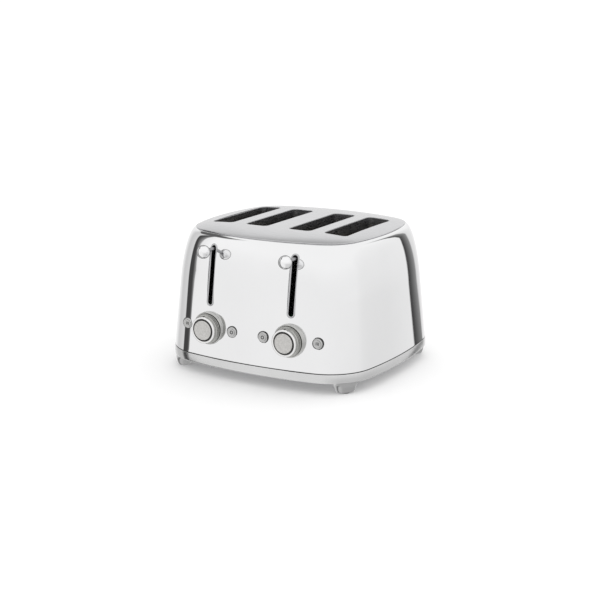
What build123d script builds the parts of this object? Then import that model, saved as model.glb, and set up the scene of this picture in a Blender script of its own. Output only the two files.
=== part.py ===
"""Four-slot pop up toaster with a polished steel shell. Millimetres, +Z up, front towards -Y.

The origin is on the table, under the middle of the body.
"""
from build123d import *
import math
import os

os.makedirs("parts", exist_ok=True)

# ---------------------------------------------------------------- driving dimensions
# Shell: bowed in plan, leaning in towards the top
body_half_width = 161.7
body_half_depth = 150.0
shell_bottom = 30.0
shell_top = 199.3
shell_wall = 1.2
lean_in_x = 25.2
lean_in_y = 26.4
bow_radius_low = 600.0
bow_radius_top = 300.0
corner_radius_low = 68.0
corner_radius_top = 50.0
# The side leans in straight up to the shoulder, and rounds over above it
shoulder_start = 0.55
straight_lean = 0.54
skin_sections = 16

# Top plate: its crown as inset from the edge and rise above the shell
plate_overhang = 0.8
plate_edge = 1.0
crown_profile = ((0, 1.0), (3, 1.9), (8, 2.9), (18, 4.3), (32, 5.6), (46, 6.4), (58, 6.7))
crown_wall = 1.6
crown_inner_inset = 3.5
skirt_depth = 6.0

# Base ring, bottom plate and feet
ring_proud = 0.8
ring_bottom = 16.0
ring_wall = 3.0
ring_flange_width = 6.0
ring_flange_thickness = 1.2
seam_gap = 0.5
spigot_rise = 1.5
spigot_clearance = 0.25
spigot_shoulder = 2.0
ring_round_low = 1.5
ring_round_high = 0.5
bottom_plate_thickness = 1.2
foot_pad_radius = 7.0
foot_pad_height = 1.6
# height, length along the corner, depth and inset of each section of a foot
foot_sections = (
    (16.0, 37.0, 28.0, -3.0),
    (12.5, 31.5, 26.0, 0.6),
    (7.0, 27.5, 22.0, 2.2),
    (1.6, 24.0, 17.0, 4.4),
)
# Turn of each foot round its corner, from the X axis
foot_angle = 39.0

# Bread slots and toasting chambers
slot_width = 36.0
slot_length = 137.0
slot_corner = 8.0
inner_slot_x = 35.0
outer_slot_x = 91.0
liner_wall = 0.8
liner_depth = 9.3
chassis_half_width = 121.0
chassis_inner_y = 69.0
chassis_drop = 3.3
chassis_sheet = 1.0
shield_sheet = 0.8
shield_bottom = 30.0

# Heating elements
board_thickness = 1.0
board_bottom = 54.0
board_drop = 13.3
board_half_length = 61.0
board_tab_height = 12.0
element_gap = 5.0
ribbon_thickness = 0.4
ribbon_height = 1.6
ribbon_count = 9

# Bread guides: wire grilles hinged on their bottom wire
guide_wire_radius = 0.8
guide_upright_radius = 0.65
guide_inset = 0.6
guide_hinge_z = 50.0
guide_drop = 11.3
guide_wire_count = 7
guide_wire_pitch = 18.0

# Carriages, bread shelves, levers
lever_x = 65.0
lever_drop = 19.0
lever_travel = 69.0
lever_ball_radius = 9.3
lever_ball_gap = 4.2
lever_neck_radius = 3.0
lever_neck_length = 2.0
lever_stem_radius = 2.5
shelf_below_lever = 50.3
shelf_thickness = 1.2
shelf_half_length = 64.0
shelf_width = 16.0
shelf_bar_width = 28.0
arm_thickness = 1.6
arm_height = 10.0
carriage_gap = 14.5
carriage_sheet = 2.0
carriage_height = 30.0
lever_strip_half = 6.0
rod_radius = 3.0
rod_gap = 5.5
rod_offset = 16.0
sleeve_radius = 6.0
magnet_half_width = 10.0
magnet_depth = 16.0
magnet_foot_z = 34.0
armature_thickness = 5.0
spring_radius = 4.0
spring_wire_radius = 0.6
spring_turns = 12

# Lever slots in the shell
lever_slot_width = 7.0
lever_slot_over = 4.2
lever_slot_under = 7.8
lever_bezel_rim = 2.5
lever_bezel_proud = 1.2

# Dials and push buttons
dial_gap = 7.4
dial_bezel_radius = 23.0
dial_bezel_proud = 4.4
dial_bezel_wall = 2.0
dial_length = 16.5
dial_rear_radius = 21.0
dial_front_radius = 19.0
dial_step_depth = 5.5
dial_groove_width = 1.0
dial_shaft_radius = 4.0
stop_radius = 14.0
stop_proud = 1.3
stop_travel = 1.5
stop_stem_radius = 2.1
button_offset = 40.0
button_radius = 7.6
button_proud = 2.2
button_travel = 1.5
button_stem_radius = 2.5
collar_radius = 8.6
collar_thickness = 1.2
collar_gap = 0.6
carrier_gap = 1.2
carrier_sheet = 2.0
carrier_half_width = 46.0
carrier_under = 24.0
carrier_over = 22.0
board_gap = 12.0
board_sheet = 1.6
pcb_half_width = 112.0
pcb_under = 28.0
pcb_over = 28.0
post_radius = 3.0

# Crumb trays
tray_half_width = 46.0
tray_height = 8.0
tray_wall = 0.8
tray_front = -64.0
tray_floor_gap = 0.4
tray_cap_thickness = 2.0
tray_pull_width = 44.0
tray_pull_thickness = 3.5

# Mains inlet, terminal block and cord storage
gland_z = 48.0
gland_bore_radius = 3.8
gland_neck_radius = 5.8
gland_flange_radius = 9.0
wrap_post_radius = 12.0
wrap_flange_radius = 20.0
wrap_x = 40.0

# Clearances
running_clearance = 0.06
fit_clearance = 0.15
hole_clearance = 0.3
slide_clearance = 0.5
button_well_clearance = 0.35

# ---------------------------------------------------------------- derived values
pair_x = (inner_slot_x + outer_slot_x) / 2
slot_half_pitch = (outer_slot_x - inner_slot_x) / 2
liner_bottom = shell_top - liner_depth
chassis_top = shell_top - chassis_drop
board_top = shell_top - board_drop
guide_top_z = shell_top - guide_drop
lever_z = shell_top - lever_drop
shelf_top = lever_z - shelf_below_lever
lever_slot_low = lever_z - lever_travel - lever_slot_under
lever_slot_high = lever_z + lever_slot_over
dial_z = lever_slot_low - lever_bezel_rim - dial_gap - dial_bezel_radius
carrier_low = dial_z - carrier_under
carrier_high = dial_z + carrier_over
pcb_low = dial_z - pcb_under
pcb_high = dial_z + pcb_over
guide_gap = slot_width / 2 - guide_inset
chassis_outer_y = chassis_inner_y + chassis_sheet
carriage_back = -chassis_outer_y - carriage_gap
carriage_y = carriage_back - carriage_sheet
rod_y = carriage_y - rod_gap
ring_top = shell_bottom - seam_gap
ring_inner_floor = ring_bottom + ring_flange_thickness
floor_top = ring_inner_floor + bottom_plate_thickness
tray_bottom = floor_top + tray_floor_gap
tray_top = tray_bottom + tray_height
carriage_bottom = shelf_top - shelf_thickness - arm_height - 2.0
carriage_top = carriage_bottom + carriage_height
armature_top = carriage_top - 6.0
armature_bottom = armature_top - armature_thickness
magnet_top = armature_bottom - lever_travel - hole_clearance
rod_x = pair_x + rod_offset
spring_x = pair_x - rod_offset
tab_bottom = guide_top_z + 2.0
slot_xs = (-outer_slot_x, -inner_slot_x, inner_slot_x, outer_slot_x)
sides = (("left", -1), ("right", 1))
element_offset = slot_half_pitch + slot_width / 2 + element_gap


def mix(low, high, share):
    """The value that lies this share of the way from low to high."""
    return low + (high - low) * share


def lean_share(place):
    """Share of the lean that is reached at this share of the shell's height."""
    shoulder = max(0.0, (place - shoulder_start) / (1 - shoulder_start))
    return straight_lean * place + (1 - straight_lean) * (1 - math.sqrt(max(0.0, 1 - shoulder**2)))


def lean_at(height):
    """Share of the lean that the shell has reached at this height."""
    return lean_share((height - shell_bottom) / (shell_top - shell_bottom))


def even_places(count):
    """Shares of the shell's height that are evenly spaced along its side."""
    fine = [step / 400 for step in range(401)]
    lengths = [0.0]
    for low, high in zip(fine, fine[1:]):
        lean = lean_in_y * (lean_share(high) - lean_share(low))
        lengths.append(lengths[-1] + math.hypot((high - low) * (shell_top - shell_bottom), lean))
    wanted = [lengths[-1] * step / (count - 1) for step in range(count)]
    places = [fine[min(range(len(fine)), key=lambda i: abs(lengths[i] - length))] for length in wanted]
    return [0.0] + places[1:-1] + [1.0]


def bow_sag(radius, x):
    """How far a bowed side has fallen back at this distance from its middle."""
    return radius - math.sqrt(radius**2 - x**2)


def corner_centre(half_width, half_depth, bow, corner):
    """Centre of the corner arc that is tangent to two bowed sides."""
    side = half_width - bow
    end = half_depth - bow
    span = math.hypot(side, end)
    rise = math.sqrt((bow - corner) ** 2 - (span / 2) ** 2)
    return side / 2 - rise * end / span, end / 2 - rise * side / span


def front_surface(x, height):
    """Y of the shell's outer front face."""
    lean = lean_at(height)
    half_width = body_half_width - lean_in_x * lean
    half_depth = body_half_depth - lean_in_y * lean
    bow = mix(bow_radius_low, bow_radius_top, lean)
    corner = mix(corner_radius_low, corner_radius_top, lean)
    centre_x, centre_y = corner_centre(half_width, half_depth, bow, corner)
    if abs(x) * (bow - corner) <= bow * centre_x:
        return bow_sag(bow, x) - half_depth
    return -centre_y - math.sqrt(corner**2 - (abs(x) - centre_x) ** 2)


def bowed_outline(half_width, half_depth, bow, corner, mode=Mode.ADD):
    """Face in the active sketch with four bowed sides and four round corners."""
    centre_x, centre_y = corner_centre(half_width, half_depth, bow, corner)
    reach = bow - corner
    end_x = bow * centre_x / reach
    end_y = (half_depth - bow) + bow * (centre_y - half_depth + bow) / reach
    side_x = (half_width - bow) + bow * (centre_x - half_width + bow) / reach
    side_y = bow * centre_y / reach
    turn = math.atan2(end_y + side_y - 2 * centre_y, end_x + side_x - 2 * centre_x)
    middle_x = centre_x + corner * math.cos(turn)
    middle_y = centre_y + corner * math.sin(turn)
    with BuildLine() as outline:
        ThreePointArc((-end_x, end_y), (0, half_depth), (end_x, end_y))
        ThreePointArc((end_x, end_y), (middle_x, middle_y), (side_x, side_y))
        ThreePointArc((side_x, side_y), (half_width, 0), (side_x, -side_y))
        ThreePointArc((side_x, -side_y), (middle_x, -middle_y), (end_x, -end_y))
        ThreePointArc((end_x, -end_y), (0, -half_depth), (-end_x, -end_y))
        ThreePointArc((-end_x, -end_y), (-middle_x, -middle_y), (-side_x, -side_y))
        ThreePointArc((-side_x, -side_y), (-half_width, 0), (-side_x, side_y))
        ThreePointArc((-side_x, side_y), (-middle_x, middle_y), (-end_x, end_y))
    make_face(outline.edges(), mode=mode)


def base_outline(grow, mode=Mode.ADD):
    """The shell's foot outline, grown outwards by this much."""
    bowed_outline(
        body_half_width + grow,
        body_half_depth + grow,
        bow_radius_low + grow,
        corner_radius_low + grow,
        mode,
    )


def top_outline(grow, mode=Mode.ADD):
    """The shell's top outline, grown outwards by this much."""
    bowed_outline(
        body_half_width - lean_in_x + grow,
        body_half_depth - lean_in_y + grow,
        bow_radius_top + grow,
        corner_radius_top + grow,
        mode,
    )


def skin_solid(grow):
    """Solid bounded by the shell's outer face, grown outwards by this much."""
    with BuildPart() as skin:
        for place in even_places(skin_sections):
            lean = lean_share(place)
            with BuildSketch(Plane.XY.offset(mix(shell_bottom, shell_top, place))):
                bowed_outline(
                    body_half_width - lean_in_x * lean + grow,
                    body_half_depth - lean_in_y * lean + grow,
                    mix(bow_radius_low, bow_radius_top, lean) + grow,
                    mix(corner_radius_low, corner_radius_top, lean) + grow,
                )
        loft()
    return skin.part


def crown_outline(inset, mode=Mode.ADD):
    """The top plate's outline, drawn in by this much, with corners that tighten as it shrinks."""
    half_width = body_half_width - lean_in_x + plate_overhang
    half_depth = body_half_depth - lean_in_y + plate_overhang
    corner = corner_radius_top * (1 - inset / half_depth)
    bowed_outline(half_width - inset, half_depth - inset, bow_radius_top, corner, mode)


def crown_solid(inset, drop):
    """Solid under the top plate's crown, or under a parallel crown further in and lower."""
    with BuildPart() as crown:
        for place, rise in crown_profile:
            with BuildSketch(Plane.XY.offset(shell_top + rise - drop)):
                crown_outline(place + inset)
        loft()
    return crown.part


def box_between(low, high, mode=Mode.ADD):
    """Box in the active part from its lowest corner to its highest."""
    centre = tuple((a + b) / 2 for a, b in zip(low, high))
    size = tuple(b - a for a, b in zip(low, high))
    with Locations(centre):
        Box(*size, mode=mode)


def side_box(sign, low, high, mode=Mode.ADD):
    """Box given for the right-hand side, on the side with this sign."""
    near, far = sorted((sign * low[0], sign * high[0]))
    box_between((near, low[1], low[2]), (far, high[1], high[2]), mode)


def rod_along_y(x, z, radius, start, end, mode=Mode.ADD):
    """Round bar or bore in the active part, from y = start to y = end."""
    with BuildSketch(Plane.XZ.offset(-end)) as profile:
        with Locations((x, z)):
            Circle(radius)
    extrude(profile.sketch, amount=end - start, mode=mode)


def ring_along_y(x, z, outer, inner, start, end, mode=Mode.ADD):
    """Round sleeve in the active part, from y = start to y = end."""
    with BuildSketch(Plane.XZ.offset(-end)) as profile:
        with Locations((x, z)):
            Circle(outer)
            Circle(inner, mode=Mode.SUBTRACT)
    extrude(profile.sketch, amount=end - start, mode=mode)


def upright_slot(x, low, high, width, start, end, mode=Mode.ADD):
    """Round-ended upright slot in the active part, cut from y = start to y = end."""
    with BuildSketch(Plane.XZ.offset(-end)) as profile:
        with Locations((x, (low + high) / 2)):
            SlotOverall(high - low, width, rotation=90)
    extrude(profile.sketch, amount=end - start, mode=mode)


outer_skin = skin_solid(0)
inner_skin = skin_solid(-shell_wall)
bezel_skin = skin_solid(lever_bezel_proud)

# Places that follow the shell's front face
dial_surface = front_surface(lever_x, dial_z)
dial_bezel_front = dial_surface - dial_bezel_proud
dial_front = dial_surface - dial_length
dial_step_y = dial_front + dial_step_depth
front_reach = stop_proud - dial_front
lever_low_face = front_surface(lever_x, lever_z - lever_travel) - lever_bezel_proud
lever_ball_y = lever_low_face - lever_ball_gap - lever_ball_radius
collar_edge = front_surface(lever_x + button_offset + collar_radius, dial_z + collar_radius)
collar_front = collar_edge + shell_wall + collar_gap
carrier_front = max(
    front_surface(lever_x + carrier_half_width, carrier_high) + shell_wall + carrier_gap,
    collar_front + collar_thickness + button_travel + slide_clearance,
)
board_front = carrier_front + board_gap

# ---------------------------------------------------------------- shell
far_front = -body_half_depth - 20.0
button_xs = [sign * (lever_x + shift) for sign in (-1, 1) for shift in (-button_offset, button_offset)]
bezel_half_width = lever_slot_width / 2 + lever_bezel_rim
rear_skin_y = -front_surface(0, gland_z)

with BuildPart() as outer_shell:
    add(outer_skin)
    add(inner_skin, mode=Mode.SUBTRACT)
    for sign in (-1, 1):
        upright_slot(
            sign * lever_x,
            lever_slot_low - lever_bezel_rim - fit_clearance,
            lever_slot_high + lever_bezel_rim + fit_clearance,
            2 * (bezel_half_width + fit_clearance),
            far_front,
            -chassis_inner_y,
            Mode.SUBTRACT,
        )
        rod_along_y(
            sign * lever_x,
            dial_z,
            dial_bezel_radius + fit_clearance,
            far_front,
            -chassis_inner_y,
            Mode.SUBTRACT,
        )
    for x in button_xs:
        rod_along_y(x, dial_z, button_radius + hole_clearance, far_front, -chassis_inner_y, Mode.SUBTRACT)
    rod_along_y(0, gland_z, gland_neck_radius + fit_clearance, chassis_inner_y, -far_front, Mode.SUBTRACT)
outer_shell.part.label = "outer_shell"
export_step(outer_shell.part, "parts/outer_shell.step")

# ---------------------------------------------------------------- top plate and slot liners
crown_outer = crown_solid(0, 0)
crown_inner = crown_solid(crown_inner_inset, crown_wall)

with BuildPart() as top_plate:
    with BuildSketch(Plane.XY.offset(shell_top)):
        crown_outline(0)
    extrude(amount=plate_edge)
    add(crown_outer)
    add(crown_inner, mode=Mode.SUBTRACT)
    with BuildSketch(Plane.XY.offset(shell_top - skirt_depth)):
        top_outline(-shell_wall - fit_clearance)
        crown_outline(crown_inner_inset, Mode.SUBTRACT)
    extrude(amount=skirt_depth)
    with BuildSketch(Plane.XY.offset(liner_bottom)):
        with Locations([(x, 0) for x in slot_xs]):
            RectangleRounded(slot_width, slot_length, slot_corner)
    extrude(amount=2 * (shell_top - liner_bottom) + crown_profile[-1][1] + crown_wall, mode=Mode.SUBTRACT)
top_plate.part.label = "top_plate"
export_step(top_plate.part, "parts/top_plate.step")

liner_outer_width = slot_width - 2 * running_clearance
liner_outer_length = slot_length - 2 * running_clearance
liner_outer_corner = slot_corner - running_clearance
with BuildPart() as slot_liners:
    with BuildSketch(Plane.XY.offset(liner_bottom)):
        for x in slot_xs:
            with Locations((x, 0)):
                RectangleRounded(liner_outer_width, liner_outer_length, liner_outer_corner)
                RectangleRounded(
                    liner_outer_width - 2 * liner_wall,
                    liner_outer_length - 2 * liner_wall,
                    liner_outer_corner - liner_wall,
                    mode=Mode.SUBTRACT,
                )
    extrude(amount=shell_top - liner_bottom + plate_edge)
    extrude_top = faces().filter_by(Plane.XY).group_by(Axis.Z)[-1]
    extrude(extrude_top, amount=2 * crown_profile[-1][1])
    with BuildSketch(Plane.XY.offset(liner_bottom)):
        crown_outline(0)
    under_crown = extrude(amount=shell_top - liner_bottom + plate_edge, mode=Mode.PRIVATE)
    add(under_crown + crown_outer, mode=Mode.INTERSECT)
slot_liners.part.label = "slot_liners"
export_step(slot_liners.part, "parts/slot_liners.step")

# ---------------------------------------------------------------- base ring
tray_cut_half_width = tray_half_width + slide_clearance
tray_cut_low = floor_top + tray_floor_gap / 2
tray_cut_high = tray_top + slide_clearance
screw_radius = 1.5
screw_head_radius = 3.2
screw_head_height = 1.6
nut_radius = 3.0
nut_height = 2.0
screw_line = ring_wall + ring_flange_width / 2 - ring_proud
screw_side_y = 45.0
screw_front_x = 60.0
side_sag = bow_sag(bow_radius_low, screw_side_y)
front_sag = bow_sag(bow_radius_low, screw_front_x)
screw_side_x = body_half_width - screw_line - side_sag
screw_points = [(sign * screw_side_x, y) for sign in (-1, 1) for y in (-screw_side_y, screw_side_y)]
screw_points += [(x, front_sag - body_half_depth + screw_line) for x in (-screw_front_x, screw_front_x)]
screw_points += [(0, body_half_depth - screw_line)]

with BuildPart() as base_ring:
    with BuildSketch(Plane.XY.offset(ring_bottom)):
        base_outline(ring_proud)
    extrude(amount=ring_top - ring_bottom)
    fillet(edges().group_by(Axis.Z)[0], radius=ring_round_low)
    fillet(edges().group_by(Axis.Z)[-1], radius=ring_round_high)
    with BuildSketch(Plane.XY.offset(ring_inner_floor)):
        base_outline(ring_proud - ring_wall)
    extrude(amount=ring_top - ring_bottom, mode=Mode.SUBTRACT)
    with BuildSketch(Plane.XY.offset(ring_bottom)):
        base_outline(ring_proud - ring_wall - ring_flange_width)
    extrude(amount=ring_top - ring_bottom, mode=Mode.SUBTRACT)
    with BuildSketch(Plane.XY.offset(ring_top - spigot_shoulder)):
        base_outline(-shell_wall - fit_clearance)
        base_outline(ring_proud - ring_wall, Mode.SUBTRACT)
    extrude(amount=spigot_shoulder)
    with BuildSketch(Plane.XY.offset(ring_top)):
        base_outline(-shell_wall - fit_clearance - spigot_clearance)
        base_outline(ring_proud - ring_wall, Mode.SUBTRACT)
    extrude(amount=spigot_rise)
    for sign in (-1, 1):
        side_box(
            sign,
            (pair_x - tray_cut_half_width, chassis_inner_y, tray_cut_low),
            (pair_x + tray_cut_half_width, body_half_depth + 20.0, tray_cut_high),
            Mode.SUBTRACT,
        )
    with Locations([(x, y, ring_inner_floor) for x, y in screw_points]):
        Hole(radius=screw_radius + 0.1, depth=2 * ring_flange_thickness)
base_ring.part.label = "base_ring"
export_step(base_ring.part, "parts/base_ring.step")

with BuildPart() as bottom_plate:
    with BuildSketch(Plane.XY.offset(ring_inner_floor)):
        base_outline(ring_proud - ring_wall - hole_clearance)
        with GridLocations(24.0, 18.0, 9, 9):
            SlotOverall(16.0, 3.0, mode=Mode.SUBTRACT)
        with Locations(screw_points):
            Circle(screw_radius + 0.1, mode=Mode.SUBTRACT)
    extrude(amount=bottom_plate_thickness)
bottom_plate.part.label = "bottom_plate"
export_step(bottom_plate.part, "parts/bottom_plate.step")

with BuildPart() as base_screws:
    for x, y in screw_points:
        with Locations((x, y, ring_bottom)):
            Cylinder(screw_head_radius, screw_head_height, align=(Align.CENTER, Align.CENTER, Align.MAX))
            Cylinder(
                screw_radius,
                floor_top + nut_height + 1.0 - ring_bottom,
                align=(Align.CENTER, Align.CENTER, Align.MIN),
            )
        with BuildSketch(Plane.XY.offset(floor_top)):
            with Locations((x, y)):
                RegularPolygon(nut_radius, 6)
        extrude(amount=nut_height)
base_screws.part.label = "base_screws"
export_step(base_screws.part, "parts/base_screws.step")

# ---------------------------------------------------------------- feet
ring_corner = corner_radius_low + ring_proud
corner_x, corner_y = corner_centre(
    body_half_width + ring_proud, body_half_depth + ring_proud, bow_radius_low + ring_proud, ring_corner
)
foot_names = {
    (-1, -1): "foot_front_left",
    (1, -1): "foot_front_right",
    (-1, 1): "foot_rear_left",
    (1, 1): "foot_rear_right",
}
outward_x = math.cos(math.radians(foot_angle))
outward_y = math.sin(math.radians(foot_angle))
pad_points = []
for (sign_x, sign_y), foot_name in foot_names.items():
    outward = (sign_x * outward_x, sign_y * outward_y)
    along = (outward[1], -outward[0], 0)
    tip_x = sign_x * (corner_x + ring_corner * outward_x)
    tip_y = sign_y * (corner_y + ring_corner * outward_y)
    with BuildPart() as foot:
        for height, length, depth, inset in foot_sections:
            corner_plane = Plane(origin=(tip_x, tip_y, height), x_dir=along, z_dir=(0, 0, 1))
            with BuildSketch(corner_plane):
                with Locations((0, -inset - depth / 2)):
                    RectangleRounded(length, depth, min(length, depth) * 0.4)
        loft()
        with BuildSketch():
            base_outline(ring_proud - ring_round_low)
        extrude(amount=ring_bottom, mode=Mode.INTERSECT)
    foot.part.label = foot_name
    export_step(foot.part, f"parts/{foot_name}.step")
    pad_inset = foot_sections[-1][3] + foot_sections[-1][2] / 2
    pad_points.append((tip_x - outward[0] * pad_inset, tip_y - outward[1] * pad_inset))

with BuildPart() as foot_pads:
    with BuildSketch():
        with Locations(pad_points):
            Circle(foot_pad_radius)
    extrude(amount=foot_pad_height)
    fillet(edges().group_by(Axis.Z)[0], radius=0.4)
foot_pads.part.label = "foot_pads"
export_step(foot_pads.part, "parts/foot_pads.step")

# ---------------------------------------------------------------- chamber frame
wall_cut_near = chassis_inner_y - 20.0
wall_cut_far = chassis_outer_y + 20.0
arm_bottom = shelf_top - shelf_thickness - arm_height
arm_slot_width = arm_thickness + 2.4
arm_slot_low = arm_bottom - lever_travel - 1.5
arm_slot_high = shelf_top + 1.5
guide_bore = guide_wire_radius + running_clearance
guide_xs = [x + sign * guide_gap for x in slot_xs for sign in (-1, 1)]
post_points = [(x, z) for x in (18.0, pcb_half_width - 6.0) for z in (pcb_low + 20.0, pcb_high - 8.0)]

with BuildPart() as front_chassis:
    box_between(
        (-chassis_half_width, -chassis_outer_y, floor_top),
        (chassis_half_width, -chassis_inner_y, chassis_top),
    )
    for x in slot_xs:
        upright_slot(
            x, arm_slot_low, arm_slot_high, arm_slot_width, -wall_cut_far, -wall_cut_near, Mode.SUBTRACT
        )
    for x in guide_xs:
        rod_along_y(x, guide_hinge_z, guide_bore, -wall_cut_far, -wall_cut_near, Mode.SUBTRACT)
    for sign in (-1, 1):
        for tab_x in (rod_x, spring_x):
            side_box(
                sign,
                (tab_x - 7.0, rod_y - 7.0, tab_bottom),
                (tab_x + 7.0, -chassis_inner_y, tab_bottom + chassis_sheet),
            )
        for post_x, post_z in post_points:
            rod_along_y(sign * post_x, post_z, post_radius, board_front + board_sheet, -chassis_inner_y)
front_chassis.part.label = "front_chassis"
export_step(front_chassis.part, "parts/front_chassis.step")

with BuildPart() as rear_chassis:
    box_between(
        (-chassis_half_width, chassis_inner_y, floor_top),
        (chassis_half_width, chassis_outer_y, chassis_top),
    )
    for x in guide_xs:
        rod_along_y(x, guide_hinge_z, guide_bore, wall_cut_near, wall_cut_far, Mode.SUBTRACT)
    for sign in (-1, 1):
        side_box(
            sign,
            (pair_x - tray_cut_half_width, wall_cut_near, 0.0),
            (pair_x + tray_cut_half_width, wall_cut_far, tray_cut_high),
            Mode.SUBTRACT,
        )
rear_chassis.part.label = "rear_chassis"
export_step(rear_chassis.part, "parts/rear_chassis.step")

shield_x = chassis_half_width - 2.0
with BuildPart() as heat_shields:
    for x in (-shield_x, 0, shield_x):
        box_between(
            (x - shield_sheet / 2, -chassis_inner_y, shield_bottom),
            (x + shield_sheet / 2, chassis_inner_y, chassis_top),
        )
heat_shields.part.label = "heat_shields"
export_step(heat_shields.part, "parts/heat_shields.step")

# ---------------------------------------------------------------- heating elements
board_xs = [sign * pair_x + shift for sign in (-1, 1) for shift in (-element_offset, 0, element_offset)]
tab_zs = (board_bottom + 2 * board_tab_height, board_top - 2 * board_tab_height)
with BuildPart() as mica_boards:
    for x in board_xs:
        box_between(
            (x - board_thickness / 2, -board_half_length, board_bottom),
            (x + board_thickness / 2, board_half_length, board_top),
        )
        for z in tab_zs:
            box_between(
                (x - board_thickness / 2, -chassis_inner_y, z),
                (x + board_thickness / 2, chassis_inner_y, z + board_tab_height),
            )
mica_boards.part.label = "mica_boards"
export_step(mica_boards.part, "parts/mica_boards.step")

ribbon_pitch = (board_top - board_bottom) / ribbon_count
ribbon_zs = [board_bottom + ribbon_pitch * (step + 0.5) for step in range(ribbon_count)]


def meets_tab(z):
    """Whether a ribbon at this height would run into a board's tabs."""
    return any(low - ribbon_height < z < low + board_tab_height for low in tab_zs)


ribbon_outer_width = board_thickness + 2 * ribbon_thickness
ribbon_outer_length = 2 * (board_half_length + ribbon_thickness)
with BuildPart() as windings:
    for z in [z for z in ribbon_zs if not meets_tab(z)]:
        with BuildSketch(Plane.XY.offset(z)):
            for x in board_xs:
                with Locations((x, 0)):
                    Rectangle(ribbon_outer_width, ribbon_outer_length)
                    Rectangle(board_thickness, 2 * board_half_length, mode=Mode.SUBTRACT)
        extrude(amount=ribbon_height)
windings.part.label = "windings"
export_step(windings.part, "parts/windings.step")

# ---------------------------------------------------------------- bread guides
guide_half_span = guide_wire_pitch * (guide_wire_count - 1) / 2
hinge_reach = chassis_outer_y + 2.0
top_wire_reach = guide_half_span + 2.0
for number, slot_x in enumerate(slot_xs, start=1):
    for side, sign in sides:
        guide_x = slot_x + sign * guide_gap
        with BuildPart() as bread_guide:
            rod_along_y(guide_x, guide_hinge_z, guide_wire_radius, -hinge_reach, hinge_reach)
            rod_along_y(guide_x, guide_top_z, guide_wire_radius, -top_wire_reach, top_wire_reach)
            with BuildSketch(Plane.XY.offset(guide_hinge_z)):
                with Locations((guide_x, 0)):
                    with GridLocations(0, guide_wire_pitch, 1, guide_wire_count):
                        Circle(guide_upright_radius)
            extrude(amount=guide_top_z - guide_hinge_z)
        guide_name = f"bread_guide_{number}_{side}"
        bread_guide.part.label = guide_name
        export_step(bread_guide.part, f"parts/{guide_name}.step")

# ---------------------------------------------------------------- carriages and levers
stem_end = carriage_y
magnet_y = carriage_y - magnet_depth / 2 - 2.5
core_radius = 5.0
coil_radius = 9.0
magnet_x = pair_x - 3.0
spring_bottom = carriage_top + spring_wire_radius + 0.1
spring_top = tab_bottom - spring_wire_radius - 0.1

# The bars lie half-way between the guides' uprights, and one more crosses the middle
shelf_bar_ys = [sign * guide_wire_pitch * (step + 0.5) for sign in (-1, 1) for step in range(3)] + [0.0]

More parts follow.
